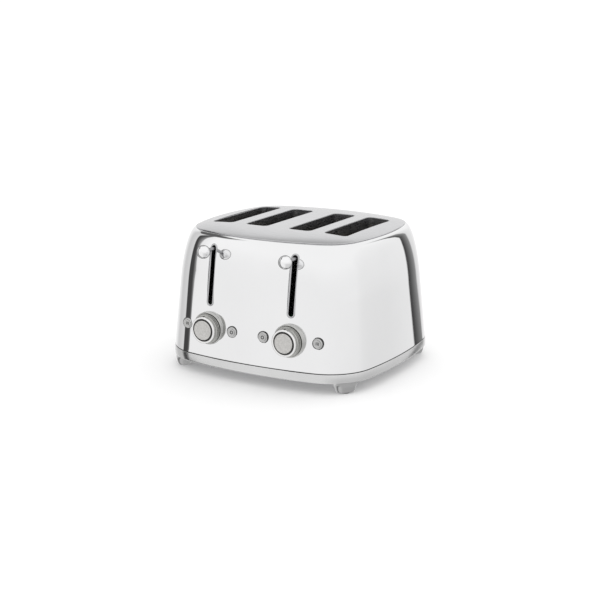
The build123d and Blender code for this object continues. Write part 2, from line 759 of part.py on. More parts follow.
for side, sign in sides:
    with BuildPart() as lever:
        with Locations((sign * lever_x, lever_ball_y, lever_z)):
            Sphere(lever_ball_radius)
        rod_along_y(sign * lever_x, lever_z, lever_stem_radius, lever_ball_y, stem_end)
        rod_along_y(
            sign * lever_x,
            lever_z,
            lever_neck_radius,
            lever_ball_y,
            lever_ball_y + lever_ball_radius + lever_neck_length,
        )
    lever.part.label = f"lever_{side}"
    export_step(lever.part, f"parts/lever_{side}.step")

    with BuildPart() as carriage:
        side_box(
            sign,
            (inner_slot_x - 3.0, carriage_y, carriage_bottom),
            (outer_slot_x + 3.0, carriage_back, carriage_top),
        )
        side_box(
            sign,
            (lever_x - lever_strip_half, carriage_y, carriage_top),
            (lever_x + lever_strip_half, carriage_back, lever_z + lever_strip_half),
        )
        side_box(
            sign,
            (magnet_x - magnet_half_width, magnet_y - magnet_depth / 2, armature_top),
            (magnet_x + magnet_half_width, carriage_back, armature_top + carriage_sheet),
        )
        side_box(
            sign,
            (spring_x - 4.0, rod_y - 5.0, carriage_top - 3.0),
            (spring_x + 4.0, carriage_back, carriage_top),
        )
        with BuildSketch(Plane.XY.offset(carriage_bottom)):
            with Locations((sign * rod_x, rod_y)):
                Circle(sleeve_radius)
        extrude(amount=carriage_height)
        with BuildSketch(Plane.XY.offset(carriage_bottom)):
            with Locations((sign * rod_x, rod_y)):
                Circle(rod_radius + running_clearance)
        extrude(amount=carriage_height, mode=Mode.SUBTRACT)
    carriage.part.label = f"carriage_{side}"
    export_step(carriage.part, f"parts/carriage_{side}.step")

    with BuildPart() as armature:
        side_box(
            sign,
            (magnet_x - magnet_half_width, magnet_y - magnet_depth / 2, armature_bottom),
            (magnet_x + magnet_half_width, magnet_y + magnet_depth / 2, armature_top),
        )
    armature.part.label = f"armature_{side}"
    export_step(armature.part, f"parts/armature_{side}.step")

    with BuildPart() as bread_shelves:
        for shelf_x in (inner_slot_x, outer_slot_x):
            side_box(
                sign,
                (shelf_x - shelf_width / 2, -shelf_half_length, shelf_top - shelf_thickness),
                (shelf_x + shelf_width / 2, shelf_half_length, shelf_top),
            )
            for bar_y in shelf_bar_ys:
                side_box(
                    sign,
                    (shelf_x - shelf_bar_width / 2, bar_y - 2.0, shelf_top - shelf_thickness),
                    (shelf_x + shelf_bar_width / 2, bar_y + 2.0, shelf_top),
                )
            side_box(
                sign,
                (shelf_x - arm_thickness / 2, carriage_back, arm_bottom),
                (shelf_x + arm_thickness / 2, 40.0 - shelf_half_length, shelf_top - shelf_thickness),
            )
    bread_shelves.part.label = f"bread_shelves_{side}"
    export_step(bread_shelves.part, f"parts/bread_shelves_{side}.step")

    with BuildPart() as carriage_spring:
        with BuildLine():
            coil_path = Helix(
                pitch=(spring_top - spring_bottom) / spring_turns,
                height=spring_top - spring_bottom,
                radius=spring_radius,
                center=(sign * spring_x, rod_y, spring_bottom),
            )
        with BuildSketch(Plane(origin=coil_path @ 0, z_dir=coil_path % 0)):
            Circle(spring_wire_radius)
        sweep(path=coil_path, is_frenet=True)
    carriage_spring.part.label = f"carriage_spring_{side}"
    export_step(carriage_spring.part, f"parts/carriage_spring_{side}.step")

with BuildPart() as guide_rods:
    with BuildSketch(Plane.XY.offset(floor_top)):
        with Locations((-rod_x, rod_y), (rod_x, rod_y)):
            Circle(rod_radius)
    extrude(amount=tab_bottom - floor_top)
guide_rods.part.label = "guide_rods"
export_step(guide_rods.part, "parts/guide_rods.step")

with BuildPart() as magnet_cores:
    for sign in (-1, 1):
        side_box(
            sign,
            (magnet_x - magnet_half_width, magnet_y - magnet_depth / 2, magnet_foot_z),
            (magnet_x + magnet_half_width, -chassis_outer_y, magnet_foot_z + 3.0),
        )
        with Locations((sign * magnet_x, magnet_y, magnet_foot_z)):
            Cylinder(core_radius, magnet_top - magnet_foot_z, align=(Align.CENTER, Align.CENTER, Align.MIN))
magnet_cores.part.label = "magnet_cores"
export_step(magnet_cores.part, "parts/magnet_cores.step")

with BuildPart() as magnet_coils:
    with BuildSketch(Plane.XY.offset(magnet_foot_z + 3.0)):
        with Locations((-magnet_x, magnet_y), (magnet_x, magnet_y)):
            Circle(coil_radius)
            Circle(core_radius, mode=Mode.SUBTRACT)
    extrude(amount=magnet_top - magnet_foot_z - 6.0)
magnet_coils.part.label = "magnet_coils"
export_step(magnet_coils.part, "parts/magnet_coils.step")

# ---------------------------------------------------------------- lever slot bezels
for side, sign in sides:
    with BuildPart() as lever_bezel:
        upright_slot(
            sign * lever_x,
            lever_slot_low - lever_bezel_rim,
            lever_slot_high + lever_bezel_rim,
            2 * bezel_half_width,
            far_front,
            -chassis_inner_y,
        )
        upright_slot(
            sign * lever_x,
            lever_slot_low,
            lever_slot_high,
            lever_slot_width,
            far_front,
            -chassis_inner_y,
            Mode.SUBTRACT,
        )
        add(bezel_skin, mode=Mode.INTERSECT)
        add(inner_skin, mode=Mode.SUBTRACT)
    lever_bezel.part.label = f"lever_bezel_{side}"
    export_step(lever_bezel.part, f"parts/lever_bezel_{side}.step")

# ---------------------------------------------------------------- dials
well_radius = stop_radius + button_well_clearance
well_floor = dial_step_y + 0.5
web_back = well_floor + 3.0
dial_back = dial_bezel_front - 0.6
shaft_end = board_front - 5.5
pot_front = carrier_front + carrier_sheet + 0.5
switch_face = board_front - 1.9
stem_tip = switch_face - stop_travel - 0.4
shaft_bore = dial_shaft_radius + running_clearance
stem_bore = button_stem_radius + running_clearance
carrier_back = carrier_front + carrier_sheet + 5.0
pot_radius = 10.0
pot_well_radius = 5.2
pointer_width = 1.4
pointer_length = 2.5
pointer_depth = 0.4
pointer_low = dial_z + dial_front_radius - 3.5

for side, sign in sides:
    x = sign * lever_x
    with BuildPart() as dial_bezel:
        ring_along_y(
            x,
            dial_z,
            dial_bezel_radius,
            dial_bezel_radius - dial_bezel_wall,
            dial_bezel_front,
            carrier_front,
        )
        rod_along_y(x, dial_z, dial_bezel_radius, dial_bezel_front, dial_bezel_front + dial_bezel_wall)
        box_between(
            (x - carrier_half_width, carrier_front, carrier_low),
            (x + carrier_half_width, carrier_front + carrier_sheet, carrier_high),
        )
        for shift_x in (-carrier_half_width + 5.0, carrier_half_width - 5.0):
            for post_z in (carrier_low + 5.0, carrier_high - 5.0):
                rod_along_y(x + shift_x, post_z, post_radius, carrier_front + carrier_sheet, board_front)
        for shift_x in (-button_offset, button_offset):
            rod_along_y(x + shift_x, dial_z, 2 * button_stem_radius, carrier_front, carrier_front + 5.0)
            rod_along_y(x + shift_x, dial_z, stem_bore, far_front, carrier_back, Mode.SUBTRACT)
        rod_along_y(x, dial_z, shaft_bore, far_front, carrier_back, Mode.SUBTRACT)
    dial_bezel.part.label = f"dial_bezel_{side}"
    export_step(dial_bezel.part, f"parts/dial_bezel_{side}.step")

    with BuildPart() as dial_knob:
        rod_along_y(x, dial_z, dial_rear_radius, dial_step_y + dial_groove_width, dial_back)
        rod_along_y(x, dial_z, dial_front_radius - 0.8, dial_step_y, dial_step_y + dial_groove_width)
        rod_along_y(x, dial_z, dial_front_radius, dial_front, dial_step_y)
        fillet(edges().group_by(Axis.Y)[0], radius=1.2)
        rod_along_y(x, dial_z, well_radius, dial_front - 1.0, well_floor, Mode.SUBTRACT)
        ring_along_y(x, dial_z, dial_rear_radius - 3.0, 7.0, web_back, dial_back, Mode.SUBTRACT)
        rod_along_y(x, dial_z, dial_shaft_radius, well_floor, dial_back, Mode.SUBTRACT)
        box_between(
            (x - pointer_width / 2, dial_front - pointer_depth, pointer_low),
            (x + pointer_width / 2, dial_front + pointer_depth, pointer_low + pointer_length),
            Mode.SUBTRACT,
        )
    dial_knob.part.label = f"dial_knob_{side}"
    export_step(dial_knob.part, f"parts/dial_knob_{side}.step")

    with BuildPart() as dial_shaft:
        ring_along_y(x, dial_z, dial_shaft_radius, stop_stem_radius + 0.1, well_floor, shaft_end)
    dial_shaft.part.label = f"dial_shaft_{side}"
    export_step(dial_shaft.part, f"parts/dial_shaft_{side}.step")

    with BuildPart() as stop_button:
        rod_along_y(x, dial_z, stop_radius, dial_front - stop_proud, well_floor - stop_travel - 0.5)
        fillet(edges().group_by(Axis.Y)[0], radius=0.8)
        rod_along_y(x, dial_z, stop_stem_radius, well_floor - stop_travel - 0.5, stem_tip)
    stop_button.part.label = f"stop_button_{side}"
    export_step(stop_button.part, f"parts/stop_button_{side}.step")

    for place, shift_x in (("outer", button_offset), ("inner", -button_offset)):
        button_x = sign * (lever_x + shift_x)
        cap_front = front_surface(button_x, dial_z) - button_proud
        with BuildPart() as button:
            rod_along_y(button_x, dial_z, button_radius, cap_front, collar_front + collar_thickness / 2)
            fillet(edges().group_by(Axis.Y)[0], radius=0.8)
            rod_along_y(button_x, dial_z, collar_radius, collar_front, collar_front + collar_thickness)
            rod_along_y(button_x, dial_z, button_stem_radius, collar_front + collar_thickness, stem_tip)
        button_name = f"button_{side}_{place}"
        button.part.label = button_name
        export_step(button.part, f"parts/{button_name}.step")

# ---------------------------------------------------------------- control board and switches
with BuildPart() as control_board:
    box_between(
        (-pcb_half_width, board_front, pcb_low),
        (pcb_half_width, board_front + board_sheet, pcb_high),
    )
control_board.part.label = "control_board"
export_step(control_board.part, "parts/control_board.step")

with BuildPart() as potentiometers:
    for x in (-lever_x, lever_x):
        rod_along_y(x, dial_z, pot_radius, pot_front, board_front)
        rod_along_y(x, dial_z, shaft_bore, pot_front, board_front, Mode.SUBTRACT)
        rod_along_y(x, dial_z, pot_well_radius, shaft_end + hole_clearance, board_front, Mode.SUBTRACT)
potentiometers.part.label = "potentiometers"
export_step(potentiometers.part, "parts/potentiometers.step")

switch_half = 3.0
with BuildPart() as tact_switches:
    for x in button_xs + [-lever_x, lever_x]:
        box_between(
            (x - switch_half, switch_face, dial_z - switch_half),
            (x + switch_half, board_front, dial_z + switch_half),
        )
tact_switches.part.label = "tact_switches"
export_step(tact_switches.part, "parts/tact_switches.step")

# ---------------------------------------------------------------- crumb trays
for side, sign in sides:
    with BuildPart() as crumb_tray:
        with BuildSketch(Plane.XY.offset(tray_bottom)):
            base_outline(ring_proud + hole_clearance)
            with Locations((sign * pair_x, tray_front + body_half_depth)):
                Rectangle(2 * tray_half_width, 2 * body_half_depth, mode=Mode.INTERSECT)
        extrude(amount=tray_height)
        with BuildSketch(Plane.XY.offset(tray_bottom + tray_wall)):
            base_outline(ring_proud + hole_clearance - tray_wall)
            with Locations((sign * pair_x, tray_front + tray_wall + body_half_depth)):
                Rectangle(2 * (tray_half_width - tray_wall), 2 * body_half_depth, mode=Mode.INTERSECT)
        extrude(amount=tray_height, mode=Mode.SUBTRACT)
        with BuildSketch(Plane.XY.offset(tray_bottom - 0.7)):
            base_outline(ring_proud + hole_clearance + tray_cap_thickness)
            base_outline(ring_proud + hole_clearance, Mode.SUBTRACT)
            with Locations((sign * pair_x, body_half_depth)):
                Rectangle(2 * tray_half_width + 5.0, body_half_depth, mode=Mode.INTERSECT)
        extrude(amount=tray_height + 2.0)
        pull_low = tray_bottom + (tray_height - tray_pull_thickness) / 2
        with BuildSketch(Plane.XY.offset(pull_low)):
            with Locations((sign * pair_x, front_reach - 15.0)):
                RectangleRounded(tray_pull_width, 30.0, 6.0)
            base_outline(ring_proud + hole_clearance, Mode.SUBTRACT)
        extrude(amount=tray_pull_thickness)
    crumb_tray.part.label = f"crumb_tray_{side}"
    export_step(crumb_tray.part, f"parts/crumb_tray_{side}.step")

# ---------------------------------------------------------------- mains inlet and cord storage
flange_gap = 0.9
gland_flange_thickness = 3.0
gland_inner_end = rear_skin_y - shell_wall - flange_gap - gland_flange_thickness
gland_outer_end = rear_skin_y + gland_flange_thickness + 0.5
with BuildPart() as cord_gland:
    rod_along_y(0, gland_z, gland_neck_radius, gland_inner_end, gland_outer_end)
    rod_along_y(0, gland_z, gland_flange_radius, rear_skin_y + flange_gap, gland_outer_end)
    rod_along_y(0, gland_z, gland_flange_radius, gland_inner_end, gland_inner_end + gland_flange_thickness)
    rod_along_y(0, gland_z, gland_bore_radius, chassis_outer_y, -far_front, Mode.SUBTRACT)
cord_gland.part.label = "cord_gland"
export_step(cord_gland.part, "parts/cord_gland.step")

with BuildPart() as terminal_block:
    box_between((-15.0, chassis_outer_y, gland_z - 8.0), (15.0, chassis_outer_y + 12.0, gland_z + 8.0))
    for x in (-9.0, 0.0, 9.0):
        rod_along_y(x, gland_z, 2.2, chassis_outer_y + 4.0, chassis_outer_y + 12.0, Mode.SUBTRACT)
terminal_block.part.label = "terminal_block"
export_step(terminal_block.part, "parts/terminal_block.step")

with BuildPart() as cord_wrap:
    with BuildSketch(Plane.XY.offset(6.0)):
        with Locations((-wrap_x, 0), (wrap_x, 0)):
            Circle(wrap_post_radius)
    extrude(amount=ring_inner_floor - 6.0)
    with BuildSketch(Plane.XY.offset(4.0)):
        with Locations((-wrap_x, 0), (wrap_x, 0)):
            Circle(wrap_flange_radius)
    extrude(amount=2.0)
cord_wrap.part.label = "cord_wrap"
export_step(cord_wrap.part, "parts/cord_wrap.step")
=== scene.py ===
import math

import bmesh
import bpy
import numpy as np
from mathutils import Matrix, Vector
from mathutils.bvhtree import BVHTree


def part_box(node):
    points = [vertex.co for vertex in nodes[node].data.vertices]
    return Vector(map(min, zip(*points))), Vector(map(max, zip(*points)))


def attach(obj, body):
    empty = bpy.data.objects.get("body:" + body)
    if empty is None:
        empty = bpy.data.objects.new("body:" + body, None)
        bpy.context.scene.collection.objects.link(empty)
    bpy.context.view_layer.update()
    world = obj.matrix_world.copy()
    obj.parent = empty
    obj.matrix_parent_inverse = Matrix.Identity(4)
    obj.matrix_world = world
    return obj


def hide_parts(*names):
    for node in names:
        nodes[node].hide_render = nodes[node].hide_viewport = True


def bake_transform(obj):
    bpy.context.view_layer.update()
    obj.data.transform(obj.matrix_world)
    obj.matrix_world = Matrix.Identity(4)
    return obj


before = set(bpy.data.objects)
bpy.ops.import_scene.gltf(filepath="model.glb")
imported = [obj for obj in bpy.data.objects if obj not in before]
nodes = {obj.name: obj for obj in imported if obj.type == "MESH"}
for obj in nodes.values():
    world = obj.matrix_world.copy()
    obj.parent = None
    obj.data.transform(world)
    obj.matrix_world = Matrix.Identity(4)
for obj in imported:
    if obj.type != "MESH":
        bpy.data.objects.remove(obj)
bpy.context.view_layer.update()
MM = 0.001

# ------------------------------------------------------------------ sizes read from the frame
shell_low, shell_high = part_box("outer_shell")
_, plate_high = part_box("top_plate")
ring_low, ring_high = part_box("base_ring")
half_width = shell_high.x
half_depth = shell_high.y
shell_bottom = shell_low.z
shell_top = shell_high.z
plate_half_width = plate_high.x
plate_half_depth = plate_high.y
plate_overhang = 0.8 * MM
lean_x = half_width - plate_half_width + plate_overhang
lean_y = half_depth - plate_half_depth + plate_overhang
ring_proud = ring_high.x - half_width

# The shell's plan and side, as the construction has them
BOW_LOW = 600 * MM
BOW_TOP = 300 * MM
CORNER_LOW = 68 * MM
CORNER_TOP = 50 * MM
SHOULDER_START = 0.55
STRAIGHT_LEAN = 0.54
WALL = 1.2 * MM
SLOT_WIDTH = 36 * MM
liner_low, liner_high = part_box("slot_liners")
SLOT_LENGTH = 2 * liner_high.y + 0.12 * MM
SLOT_CORNER = 8 * MM
SLOT_XS = [sign * x * MM for sign in (-1, 1) for x in (35, 91)]
SIDES = (("left", -1), ("right", 1))


# ------------------------------------------------------------------ outline and surface formulas
def mix(low, high, share):
    return low + (high - low) * share


def corner_centre(width, depth, bow, corner):
    """Centre of the corner arc that touches two bowed sides."""
    side = width - bow
    end = depth - bow
    span = math.hypot(side, end)
    rise = math.sqrt((bow - corner) ** 2 - (span / 2) ** 2)
    return side / 2 - rise * end / span, end / 2 - rise * side / span


def outline(width, depth, bow, corner, side_steps=56, corner_steps=30):
    """Points round the bowed outline, counter-clockwise from the middle of the right side."""
    cx, cy = corner_centre(width, depth, bow, corner)
    turn_side = math.atan2(cy, cx - (width - bow))
    turn_end = math.atan2(cy - (depth - bow), cx)
    points = []
    for step in range(side_steps // 2):
        a = turn_side * step / (side_steps // 2)
        points.append((width - bow + bow * math.cos(a), bow * math.sin(a)))
    for step in range(corner_steps):
        a = mix(turn_side, turn_end, step / corner_steps)
        points.append((cx + corner * math.cos(a), cy + corner * math.sin(a)))
    for step in range(side_steps // 2 + 1):
        a = mix(turn_end, math.pi / 2, step / (side_steps // 2))
        points.append((bow * math.cos(a), depth - bow + bow * math.sin(a)))
    quarter = np.array(points)
    left = quarter[-2::-1] * [-1, 1]
    upper = np.concatenate([quarter, left])
    lower = upper[-2:0:-1] * [1, -1]
    return np.concatenate([upper, lower])


def lean_share(place):
    """Share of the lean reached at this share of the shell's height."""
    shoulder = max(0.0, (place - SHOULDER_START) / (1 - SHOULDER_START))
    return STRAIGHT_LEAN * place + (1 - STRAIGHT_LEAN) * (1 - math.sqrt(max(0.0, 1 - shoulder**2)))


def shell_ring(place, grow=0.0, lift=0.0):
    """One ring of the shell's skin, at this share of its height."""
    lean = lean_share(place)
    plan = outline(
        half_width - lean_x * lean + grow,
        half_depth - lean_y * lean + grow,
        mix(BOW_LOW, BOW_TOP, lean) + grow,
        mix(CORNER_LOW, CORNER_TOP, lean) + grow,
    )
    height = mix(shell_bottom, shell_top, place) + lift
    return np.column_stack([plan, np.full(len(plan), height)])


def front_surface(x, height):
    """Y of the shell's outer front face, in metres."""
    lean = lean_share((height - shell_bottom) / (shell_top - shell_bottom))
    width = half_width - lean_x * lean
    depth = half_depth - lean_y * lean
    bow = mix(BOW_LOW, BOW_TOP, lean)
    corner = mix(CORNER_LOW, CORNER_TOP, lean)
    cx, cy = corner_centre(width, depth, bow, corner)
    if abs(x) * (bow - corner) <= bow * cx:
        return bow - math.sqrt(bow**2 - x**2) - depth
    return -cy - math.sqrt(corner**2 - (abs(x) - cx) ** 2)


# ------------------------------------------------------------------ mesh helpers
def new_object(name, vertices, faces):
    mesh = bpy.data.meshes.new(name)
    mesh.from_pydata([tuple(v) for v in vertices], [], [tuple(f) for f in faces])
    mesh.validate()
    made = bpy.data.objects.new(name, mesh)
    bpy.context.scene.collection.objects.link(made)
    return made


def outward(made):
    """Turn all faces of a closed mesh to face outwards."""
    shape = bmesh.new()
    shape.from_mesh(made.data)
    bmesh.ops.recalc_face_normals(shape, faces=shape.faces)
    shape.to_mesh(made.data)
    shape.free()
    return made


def smooth(made, sharp_degrees=None):
    made.data.shade_smooth()
    if sharp_degrees is not None:
        made.data.set_sharp_from_angle(angle=math.radians(sharp_degrees))
    return made


def rings_mesh(rings, closed=False):
    """Skin a list of rings with the same number of points. closed joins the last ring to the first."""
    count = len(rings[0])
    vertices = np.concatenate(rings)
    faces = []
    last = len(rings) if closed else len(rings) - 1
    for row in range(last):
        low = row * count
        high = ((row + 1) % len(rings)) * count
        for step in range(count):
            after = (step + 1) % count
            faces.append((low + step, low + after, high + after, high + step))
    return vertices, faces


def lathe(name, profile, centre, axis, segments=96, closed=False):
    """Turn a profile of (radius, along) points round an axis. Open profiles start and end on the axis."""
    axis = Vector(axis).normalized()
    across = axis.orthogonal().normalized()
    third = axis.cross(across)
    rings = []
    for radius, along in profile:
        ring = []
        for step in range(segments):
            angle = 2 * math.pi * step / segments
            spoke = across * math.cos(angle) + third * math.sin(angle)
            ring.append(Vector(centre) + axis * along + spoke * radius)
        rings.append(np.array(ring))
    vertices, faces = rings_mesh(rings, closed)
    made = new_object(name, vertices, faces)
    shape = bmesh.new()
    shape.from_mesh(made.data)
    bmesh.ops.remove_doubles(shape, verts=shape.verts, dist=1e-7)
    bmesh.ops.recalc_face_normals(shape, faces=shape.faces)
    shape.to_mesh(made.data)
    shape.free()
    return smooth(made, 32)


def round_corners(points, radius, steps=4):
    """Replace the inner corners of an open profile by small arcs."""
    result = [points[0]]
    for before, corner, after in zip(points, points[1:], points[2:]):
        b, c, a = (np.array(p, float) for p in (before, corner, after))
        into, out = b - c, a - c
        cut = min(radius, 0.45 * np.linalg.norm(into), 0.45 * np.linalg.norm(out))
        start = c + into / np.linalg.norm(into) * cut
        end = c + out / np.linalg.norm(out) * cut
        for step in range(steps + 1):
            t = step / steps
            result.append(tuple((1 - t) ** 2 * start + 2 * t * (1 - t) * c + t**2 * end))
    result.append(points[-1])
    return result


def turned(name, points, centre, axis, edge=0.3, segments=96, closed=False):
    """Lathe a profile given in millimetres, with its corners rounded."""
    soft = round_corners(points, edge)
    return lathe(name, [(max(r, 0) * MM, a * MM) for r, a in soft], centre, axis, segments, closed)


def prism(name, plan, low, high, axis="Z"):
    """Straight prism over a closed 2-D outline; axis Y takes the outline as (x, z)."""
    count = len(plan)
    if axis == "Z":
        rings = [[(x, y, h) for x, y in plan] for h in (low, high)]
    else:
        rings = [[(x, h, z) for x, z in plan] for h in (low, high)]
    vertices = rings[0] + rings[1]
    faces = [(i, (i + 1) % count, count + (i + 1) % count, count + i) for i in range(count)]
    faces += [tuple(range(count))[::-1], tuple(range(count, 2 * count))]
    return outward(new_object(name, vertices, faces))


def stadium(x, low, high, width, steps=24):
    """Round-ended upright slot outline as (x, z) points."""
    radius = width / 2
    points = []
    for centre, start in ((high - radius, 0.0), (low + radius, math.pi)):
        for step in range(steps + 1):
            a = start + math.pi * step / steps
            points.append((x + radius * math.cos(a), centre + radius * math.sin(a)))
    return points


def round_rectangle(x, y, width, length, corner, steps=12):
    points = []
    corners = ((1, 1, 0), (-1, 1, 1), (-1, -1, 2), (1, -1, 3))
    for sx, sy, quarter in corners:
        cx = x + sx * (width / 2 - corner)
        cy = y + sy * (length / 2 - corner)
        for step in range(steps + 1):
            a = math.pi / 2 * (quarter + step / steps)
            points.append((cx + corner * math.cos(a), cy + corner * math.sin(a)))
    return points


def joined(name, parts):
    """One object from several closed meshes that don't touch."""
    vertices, faces = [], []
    for part in parts:
        start = len(vertices)
        vertices += [tuple(v.co) for v in part.data.vertices]
        faces += [tuple(start + i for i in p.vertices) for p in part.data.polygons]
        bpy.data.objects.remove(part)
    return new_object(name, vertices, faces)


def circle(x, z, radius, steps=64):
    return [
        (x + radius * math.cos(2 * math.pi * i / steps), z + radius * math.sin(2 * math.pi * i / steps))
        for i in range(steps)
    ]


def cut(made, cutters):
    """Cut solids out of a piece, and keep its smooth shading as it was before the cuts."""
    smooth_shape = made.data.copy()
    points = [v.co.copy() for v in smooth_shape.vertices]
    polygons = [tuple(p.vertices) for p in smooth_shape.polygons]
    point_normals = [Vector(n.vector) for n in smooth_shape.vertex_normals]
    tree = BVHTree.FromPolygons(points, polygons)
    for cutter in cutters:
        modifier = made.modifiers.new("cut", "BOOLEAN")
        modifier.operation = "DIFFERENCE"
        modifier.solver = "EXACT"
        modifier.object = cutter
    bpy.context.view_layer.update()
    evaluated = made.evaluated_get(bpy.context.evaluated_depsgraph_get())
    result = bpy.data.meshes.new_from_object(evaluated)
    made.modifiers.clear()
    made.data = result
    for cutter in cutters:
        bpy.data.objects.remove(cutter)
    result.shade_smooth()
    normals = [None] * len(result.loops)
    for polygon in result.polygons:
        face_normal = polygon.normal
        for index in polygon.loop_indices:
            place = result.vertices[result.loops[index].vertex_index].co
            _, _, hit, distance = tree.find_nearest(place)
            normal = face_normal
            if distance < 0.05 * MM:
                corners = polygons[hit]
                weights = [1 / ((points[c] - place).length + 1e-7) for c in corners]
                guide = Vector((0, 0, 0))
                for c, w in zip(corners, weights):
                    guide += point_normals[c] * w
                guide.normalize()
                if guide.dot(face_normal) > 0.8:
                    normal = guide
            normals[index] = tuple(normal)
    result.normals_split_custom_set(normals)
    bpy.data.meshes.remove(smooth_shape)
    return made


# ------------------------------------------------------------------ materials
def new_material(name):
    made = bpy.data.materials.new(name)
    made.use_nodes = True
    return made, made.node_tree.nodes, made.node_tree.links, made.node_tree.nodes["Principled BSDF"]


def noise(tree_nodes, links, scale, detail=3.0, stretch=(1, 1, 1)):
    """Noise in the part's own coordinates, stretched along an axis for brushed finishes."""
    place = tree_nodes.new("ShaderNodeTexCoord")
    mapping = tree_nodes.new("ShaderNodeMapping")
    mapping.inputs["Scale"].default_value = stretch
    texture = tree_nodes.new("ShaderNodeTexNoise")
    texture.inputs["Scale"].default_value = scale
    texture.inputs["Detail"].default_value = detail
    links.new(place.outputs["Object"], mapping.inputs["Vector"])
    links.new(mapping.outputs["Vector"], texture.inputs["Vector"])
    return texture.outputs["Fac"]


def spread(tree_nodes, links, value, low, high):
    """Map a noise value to a range."""
    ranged = tree_nodes.new("ShaderNodeMapRange")
    ranged.inputs["From Min"].default_value = 0.25
    ranged.inputs["From Max"].default_value = 0.75
    ranged.inputs["To Min"].default_value = low
    ranged.inputs["To Max"].default_value = high
    links.new(value, ranged.inputs["Value"])
    return ranged.outputs["Result"]


def tint(tree_nodes, links, value, dark, light):
    ramp = tree_nodes.new("ShaderNodeValToRGB")
    ramp.color_ramp.elements[0].position = 0.3
    ramp.color_ramp.elements[0].color = (*dark, 1)
    ramp.color_ramp.elements[1].position = 0.7
    ramp.color_ramp.elements[1].color = (*light, 1)
    links.new(value, ramp.inputs["Fac"])
    return ramp.outputs["Color"]


def surface(
    name, dark, light, rough, metallic=1.0, scale=60.0, stretch=(1, 1, 1), bump=0.0, bump_scale=400.0
):
    """Procedural finish: two-tone noise in colour, a spread of roughness, and a fine bump."""
    made, tree_nodes, links, shader = new_material(name)
    shader.inputs["Metallic"].default_value = metallic
    colour_noise = noise(tree_nodes, links, scale, 4.0, stretch)
    links.new(tint(tree_nodes, links, colour_noise, dark, light), shader.inputs["Base Color"])
    rough_noise = noise(tree_nodes, links, scale * 2.3, 5.0, stretch)
    links.new(spread(tree_nodes, links, rough_noise, rough[0], rough[1]), shader.inputs["Roughness"])
    if bump:
        grain = noise(tree_nodes, links, bump_scale, 6.0, stretch)
        relief = tree_nodes.new("ShaderNodeBump")
        relief.inputs["Strength"].default_value = bump
        relief.inputs["Distance"].default_value = 0.0002
        links.new(grain, relief.inputs["Height"])
        links.new(relief.outputs["Normal"], shader.inputs["Normal"])
    return made


POLISHED = surface("polished_steel", (0.87, 0.87, 0.875), (0.90, 0.90, 0.905), (0.02, 0.045), scale=9)
BRUSHED = surface(
    "brushed_top", (0.58, 0.58, 0.59), (0.63, 0.63, 0.64), (0.18, 0.25),
    scale=40, stretch=(1, 12, 12), bump=0.03,
)
SATIN = surface("satin_alloy", (0.69, 0.69, 0.69), (0.73, 0.73, 0.73), (0.16, 0.20), scale=25, bump=0.01)
# The feet's alloy is a darker copy of the satin alloy: painted shade under the toaster
SHADED_FOOT_ALLOY = surface("foot_alloy_painted_shade", (0.44, 0.44, 0.44), (0.50, 0.50, 0.50), (0.18, 0.24), scale=25, bump=0.01)
BALL = surface("lever_ball", (0.90, 0.90, 0.905), (0.93, 0.93, 0.935), (0.03, 0.05), scale=30)
# The black edge tint darkens the ball's rim: a painted dark reflection round its edge
BALL.node_tree.nodes["Principled BSDF"].inputs["Specular Tint"].default_value = (0.0, 0.0, 0.0, 1)
BEZEL = surface("bezel_chrome", (0.50, 0.50, 0.51), (0.58, 0.58, 0.59), (0.12, 0.20), scale=60)
DIAL = surface("satin_dial", (0.55, 0.54, 0.525), (0.68, 0.67, 0.65), (0.22, 0.32), scale=420, bump=0.05)
KNOB = surface("knob_ring", (0.86, 0.855, 0.85), (0.90, 0.895, 0.89), (0.05, 0.09), scale=60)
GRIP = surface(
    "knob_side", (0.30, 0.30, 0.29), (0.52, 0.52, 0.50), (0.14, 0.22), scale=50, stretch=(1, 14, 1), bump=0.02
)
FLANGE = surface("dial_flange", (0.46, 0.46, 0.45), (0.60, 0.60, 0.585), (0.12, 0.2), scale=90, bump=0.02)
BUTTON = surface("button_face", (0.48, 0.48, 0.475), (0.58, 0.58, 0.575), (0.2, 0.3), scale=200, bump=0.03)
# Near-black: painted shade in the seam, the gaps and the grooves, and also the printed marks and signs
SHADE_AND_PRINT_BLACK = surface("painted_shade_and_print", (0.02, 0.02, 0.02), (0.05, 0.05, 0.05), (0.5, 0.8), metallic=0.0, scale=80)
LINER = surface(
    "liner_steel", (0.30, 0.30, 0.31), (0.44, 0.44, 0.45), (0.22, 0.38), scale=50, stretch=(1, 1, 8)
)
SHEET = surface("plated_sheet", (0.30, 0.30, 0.31), (0.42, 0.42, 0.43), (0.35, 0.55), scale=45, bump=0.05)
WIRE = surface("guide_wire", (0.55, 0.55, 0.56), (0.68, 0.68, 0.69), (0.15, 0.3), scale=90)
MICA = surface(
    "mica_sheet", (0.42, 0.36, 0.26), (0.56, 0.50, 0.38), (0.45, 0.65), metallic=0.0, scale=140, bump=0.15
)
NICHROME = surface("nichrome_ribbon", (0.25, 0.22, 0.20), (0.36, 0.33, 0.30), (0.35, 0.5), scale=200)
RUBBER = surface(
    "pad_rubber", (0.02, 0.02, 0.02), (0.04, 0.04, 0.04), (0.7, 0.9), metallic=0.0, scale=300, bump=0.2
)
COPPER = surface("coil_copper", (0.45, 0.22, 0.10), (0.60, 0.32, 0.16), (0.25, 0.4), scale=200)
IRON = surface("soft_iron", (0.14, 0.14, 0.15), (0.22, 0.22, 0.23), (0.45, 0.65), scale=80, bump=0.1)
BOARD = surface("circuit_board", (0.02, 0.10, 0.05), (0.03, 0.15, 0.07), (0.35, 0.5), metallic=0.0, scale=90)
PLASTIC = surface(
    "black_plastic", (0.015, 0.015, 0.016), (0.03, 0.03, 0.032), (0.4, 0.6), metallic=0.0, scale=250, bump=0.1
)


def dress(made, material):
    made.data.materials.clear()
    made.data.materials.append(material)
    return made


